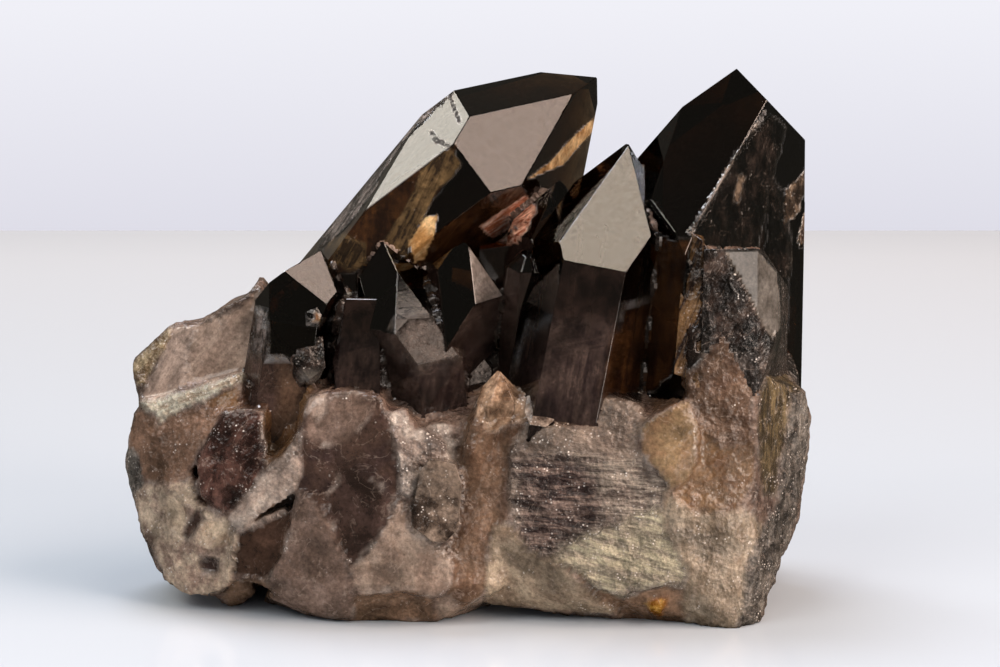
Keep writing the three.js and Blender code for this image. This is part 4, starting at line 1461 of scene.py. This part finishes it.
        ], lean),
        Region(Look.CRACK, [
            (429, 131), (433, 131), (437, 137), (450, 144), (450, 148), (443, 146), (434, 143),
        ], lean, soft=0.5, ragged=0.3),
        Region(Look.CRACK, [(446, 91), (450, 91), (462, 122), (457, 123)], lean, soft=0.5, ragged=0.3),
        # The left crystal's smoky foot, and the bright wedge beside it, a painted reflection.
        Region(Look.DEEP_WINDOW, [
            (246, 352), (277, 355), (277, 412), (238, 412),
        ], "leftCrystal", soft=1.0, ragged=1.0),
        Region(Look.SMOKY_FOOT, [
            (277, 355), (292, 362), (316, 387), (303, 413), (293, 439), (277, 457), (266, 466),
            (264, 412), (277, 412),
        ], "leftCrystal", ragged=1.5),
        Region(Look.PALE_PAINTED_REFLECTION, [
            (289, 366), (303, 374), (327, 370), (312, 386),
        ], "smallWedge", soft=1.0, ragged=1.0),
        Region(Look.STREAKED, [
            (254, 305), (262, 310), (268, 335), (262, 358), (248, 358),
        ], "leftCrystal", soft=2.0),
        Region(Look.STAIN, [(313, 310), (319, 308), (320, 322), (314, 324)], "leftCrystal", ragged=1.0),
        # The tall crystal's broken right side, its healed edge and its chips.
        Region(Look.DARK_STREAKS, [
            (740, 151), (771, 116), (786, 128), (776, 163), (767, 203), (755, 251), (726, 251),
            (703, 248), (695, 232), (714, 201),
        ], tall, soft=2.0),
        Region(Look.DARK_STREAKS, [
            (773, 180), (786, 200), (790, 260), (786, 330), (776, 262), (766, 251),
        ], tall, soft=3.0),
        Region(Look.HEALED_EDGE, [
            (767, 111), (740, 152), (716, 192), (702, 216), (692, 234), (688, 233), (700, 214),
            (714, 191), (738, 151), (765, 111),
        ], tall, soft=0.5, ragged=0.6),
        Region(Look.DARK_CHIP, [
            (733, 202), (740, 172), (745, 176), (738, 202),
        ], tall, soft=1.0, ragged=1.5),
        Region(Look.DARK_CHIP, [
            (786, 190), (798, 182), (808, 164), (810, 182), (798, 210), (786, 222),
        ], tall, soft=1.0),
        Region(Look.RUSTY, [(804, 214), (812, 212), (803, 249), (798, 240)], tall, soft=1.0, ragged=1.0),
        Region(Look.SMOKY_SIDE, [
            (655, 240), (690, 240), (684, 300), (670, 375), (640, 400), (625, 380), (640, 300),
        ], tall, soft=2.0),
        # The flat pale facet, a painted reflection, the pitted stripe beside it and the haze in the centre
        # crystal.
        Region(Look.PALE_PAINTED_REFLECTION, [
            (725, 251), (758, 250), (776, 271), (780, 308), (780, 329), (771, 338), (762, 323),
            (750, 302),
        ], facet, soft=0.6, ragged=0.3),
        Region(Look.DARK_PITTED, [
            (702, 250), (724, 252), (748, 298), (766, 331), (762, 352), (738, 346), (714, 350),
            (709, 310),
        ], facet, soft=1.0),
        Region(Look.PURPLE_HAZE, [
            (545, 345), (625, 335), (612, 430), (520, 430),
        ], mid, soft=28.0, ragged=12.0),
        Region(Look.SMOKY_SIDE, [
            (630, 315), (652, 305), (662, 350), (660, 400), (612, 412), (618, 360),
        ], mid, soft=14.0),
        # The blunt stub's sparkling foot and the striped crystal's dull cap end and dusky shaft.
        Region(Look.DULLED, [
            (398, 325), (428, 318), (446, 322), (470, 360), (460, 372), (418, 372), (400, 345),
        ], "stripedCrystal", soft=7.0, ragged=5.0),
        Region(Look.PURPLE_HAZE, [
            (335, 345), (380, 340), (382, 392), (338, 392),
        ], "bluntStub", soft=8.0, ragged=5.0),
        *(
            Region(Look.PURPLE_HAZE, shaft, host, soft=3.0)
            for host in ("stripedCrystal", "stripedCrystalBack")
        ),
        Region(Look.PURPLE_HAZE, [
            (470, 350), (520, 350), (516, 400), (470, 400),
        ], "middleCrystal", soft=8.0),
    ]


def main() -> None:
    """Builds the stone and its studio."""
    # Vector noise starts from the clock unless it gets a seed.
    noise.seed_set(SEED)
    rear = [
        Look.ROOT, Look.PALE_LOBE, Look.BROWN_SOLE, Look.UPPER_MILK, Look.MOTTLED, Look.SMOKY_WINDOW,
        Look.LIP, Look.GREY_RIM, Look.PALE_TAN, Look.PINKISH, Look.BUBBLY_BROWN, Look.GREY_BAND,
    ]
    painter = Painter(crystals(), good_side(), rear)
    Stone(painter, Root()).build(Quartz().build())
    panels = [
        Panel("window_right", 70, 40, 0.95, 0.95, 6.4, "#ffe2d0"),
        Panel("skylight_right", 56, 76, 0.3, 0.3, 6.9, "#ffebd5"),
        Panel("lamp_front_right", 57, 12, 0.36, 0.36, 13.0, "#fff1e6"),
        Panel("card_right", 34, 38, 0.2, 0.2, 3.6, "#ffe8d8"),
        Panel("window_behind_left", -137, 39, 0.46, 0.4, 5.0, "#fff7e9"),
        Panel("skylight_behind", -155, 66, 0.6, 0.5, 11.0, "#f6f6ff"),
        Panel("reflector_low_right", 26, 3, 0.35, 0.3, 3.0, "#fff3ea"),
        Panel("window_left", -48, 48, 0.7, 0.7, 3.6, "#fff7f0"),
    ]
    Studio(panels).build()
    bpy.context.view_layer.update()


if __name__ == "__main__":
    logging.basicConfig(level=logging.INFO, format="%(name)s: %(message)s")
    main()
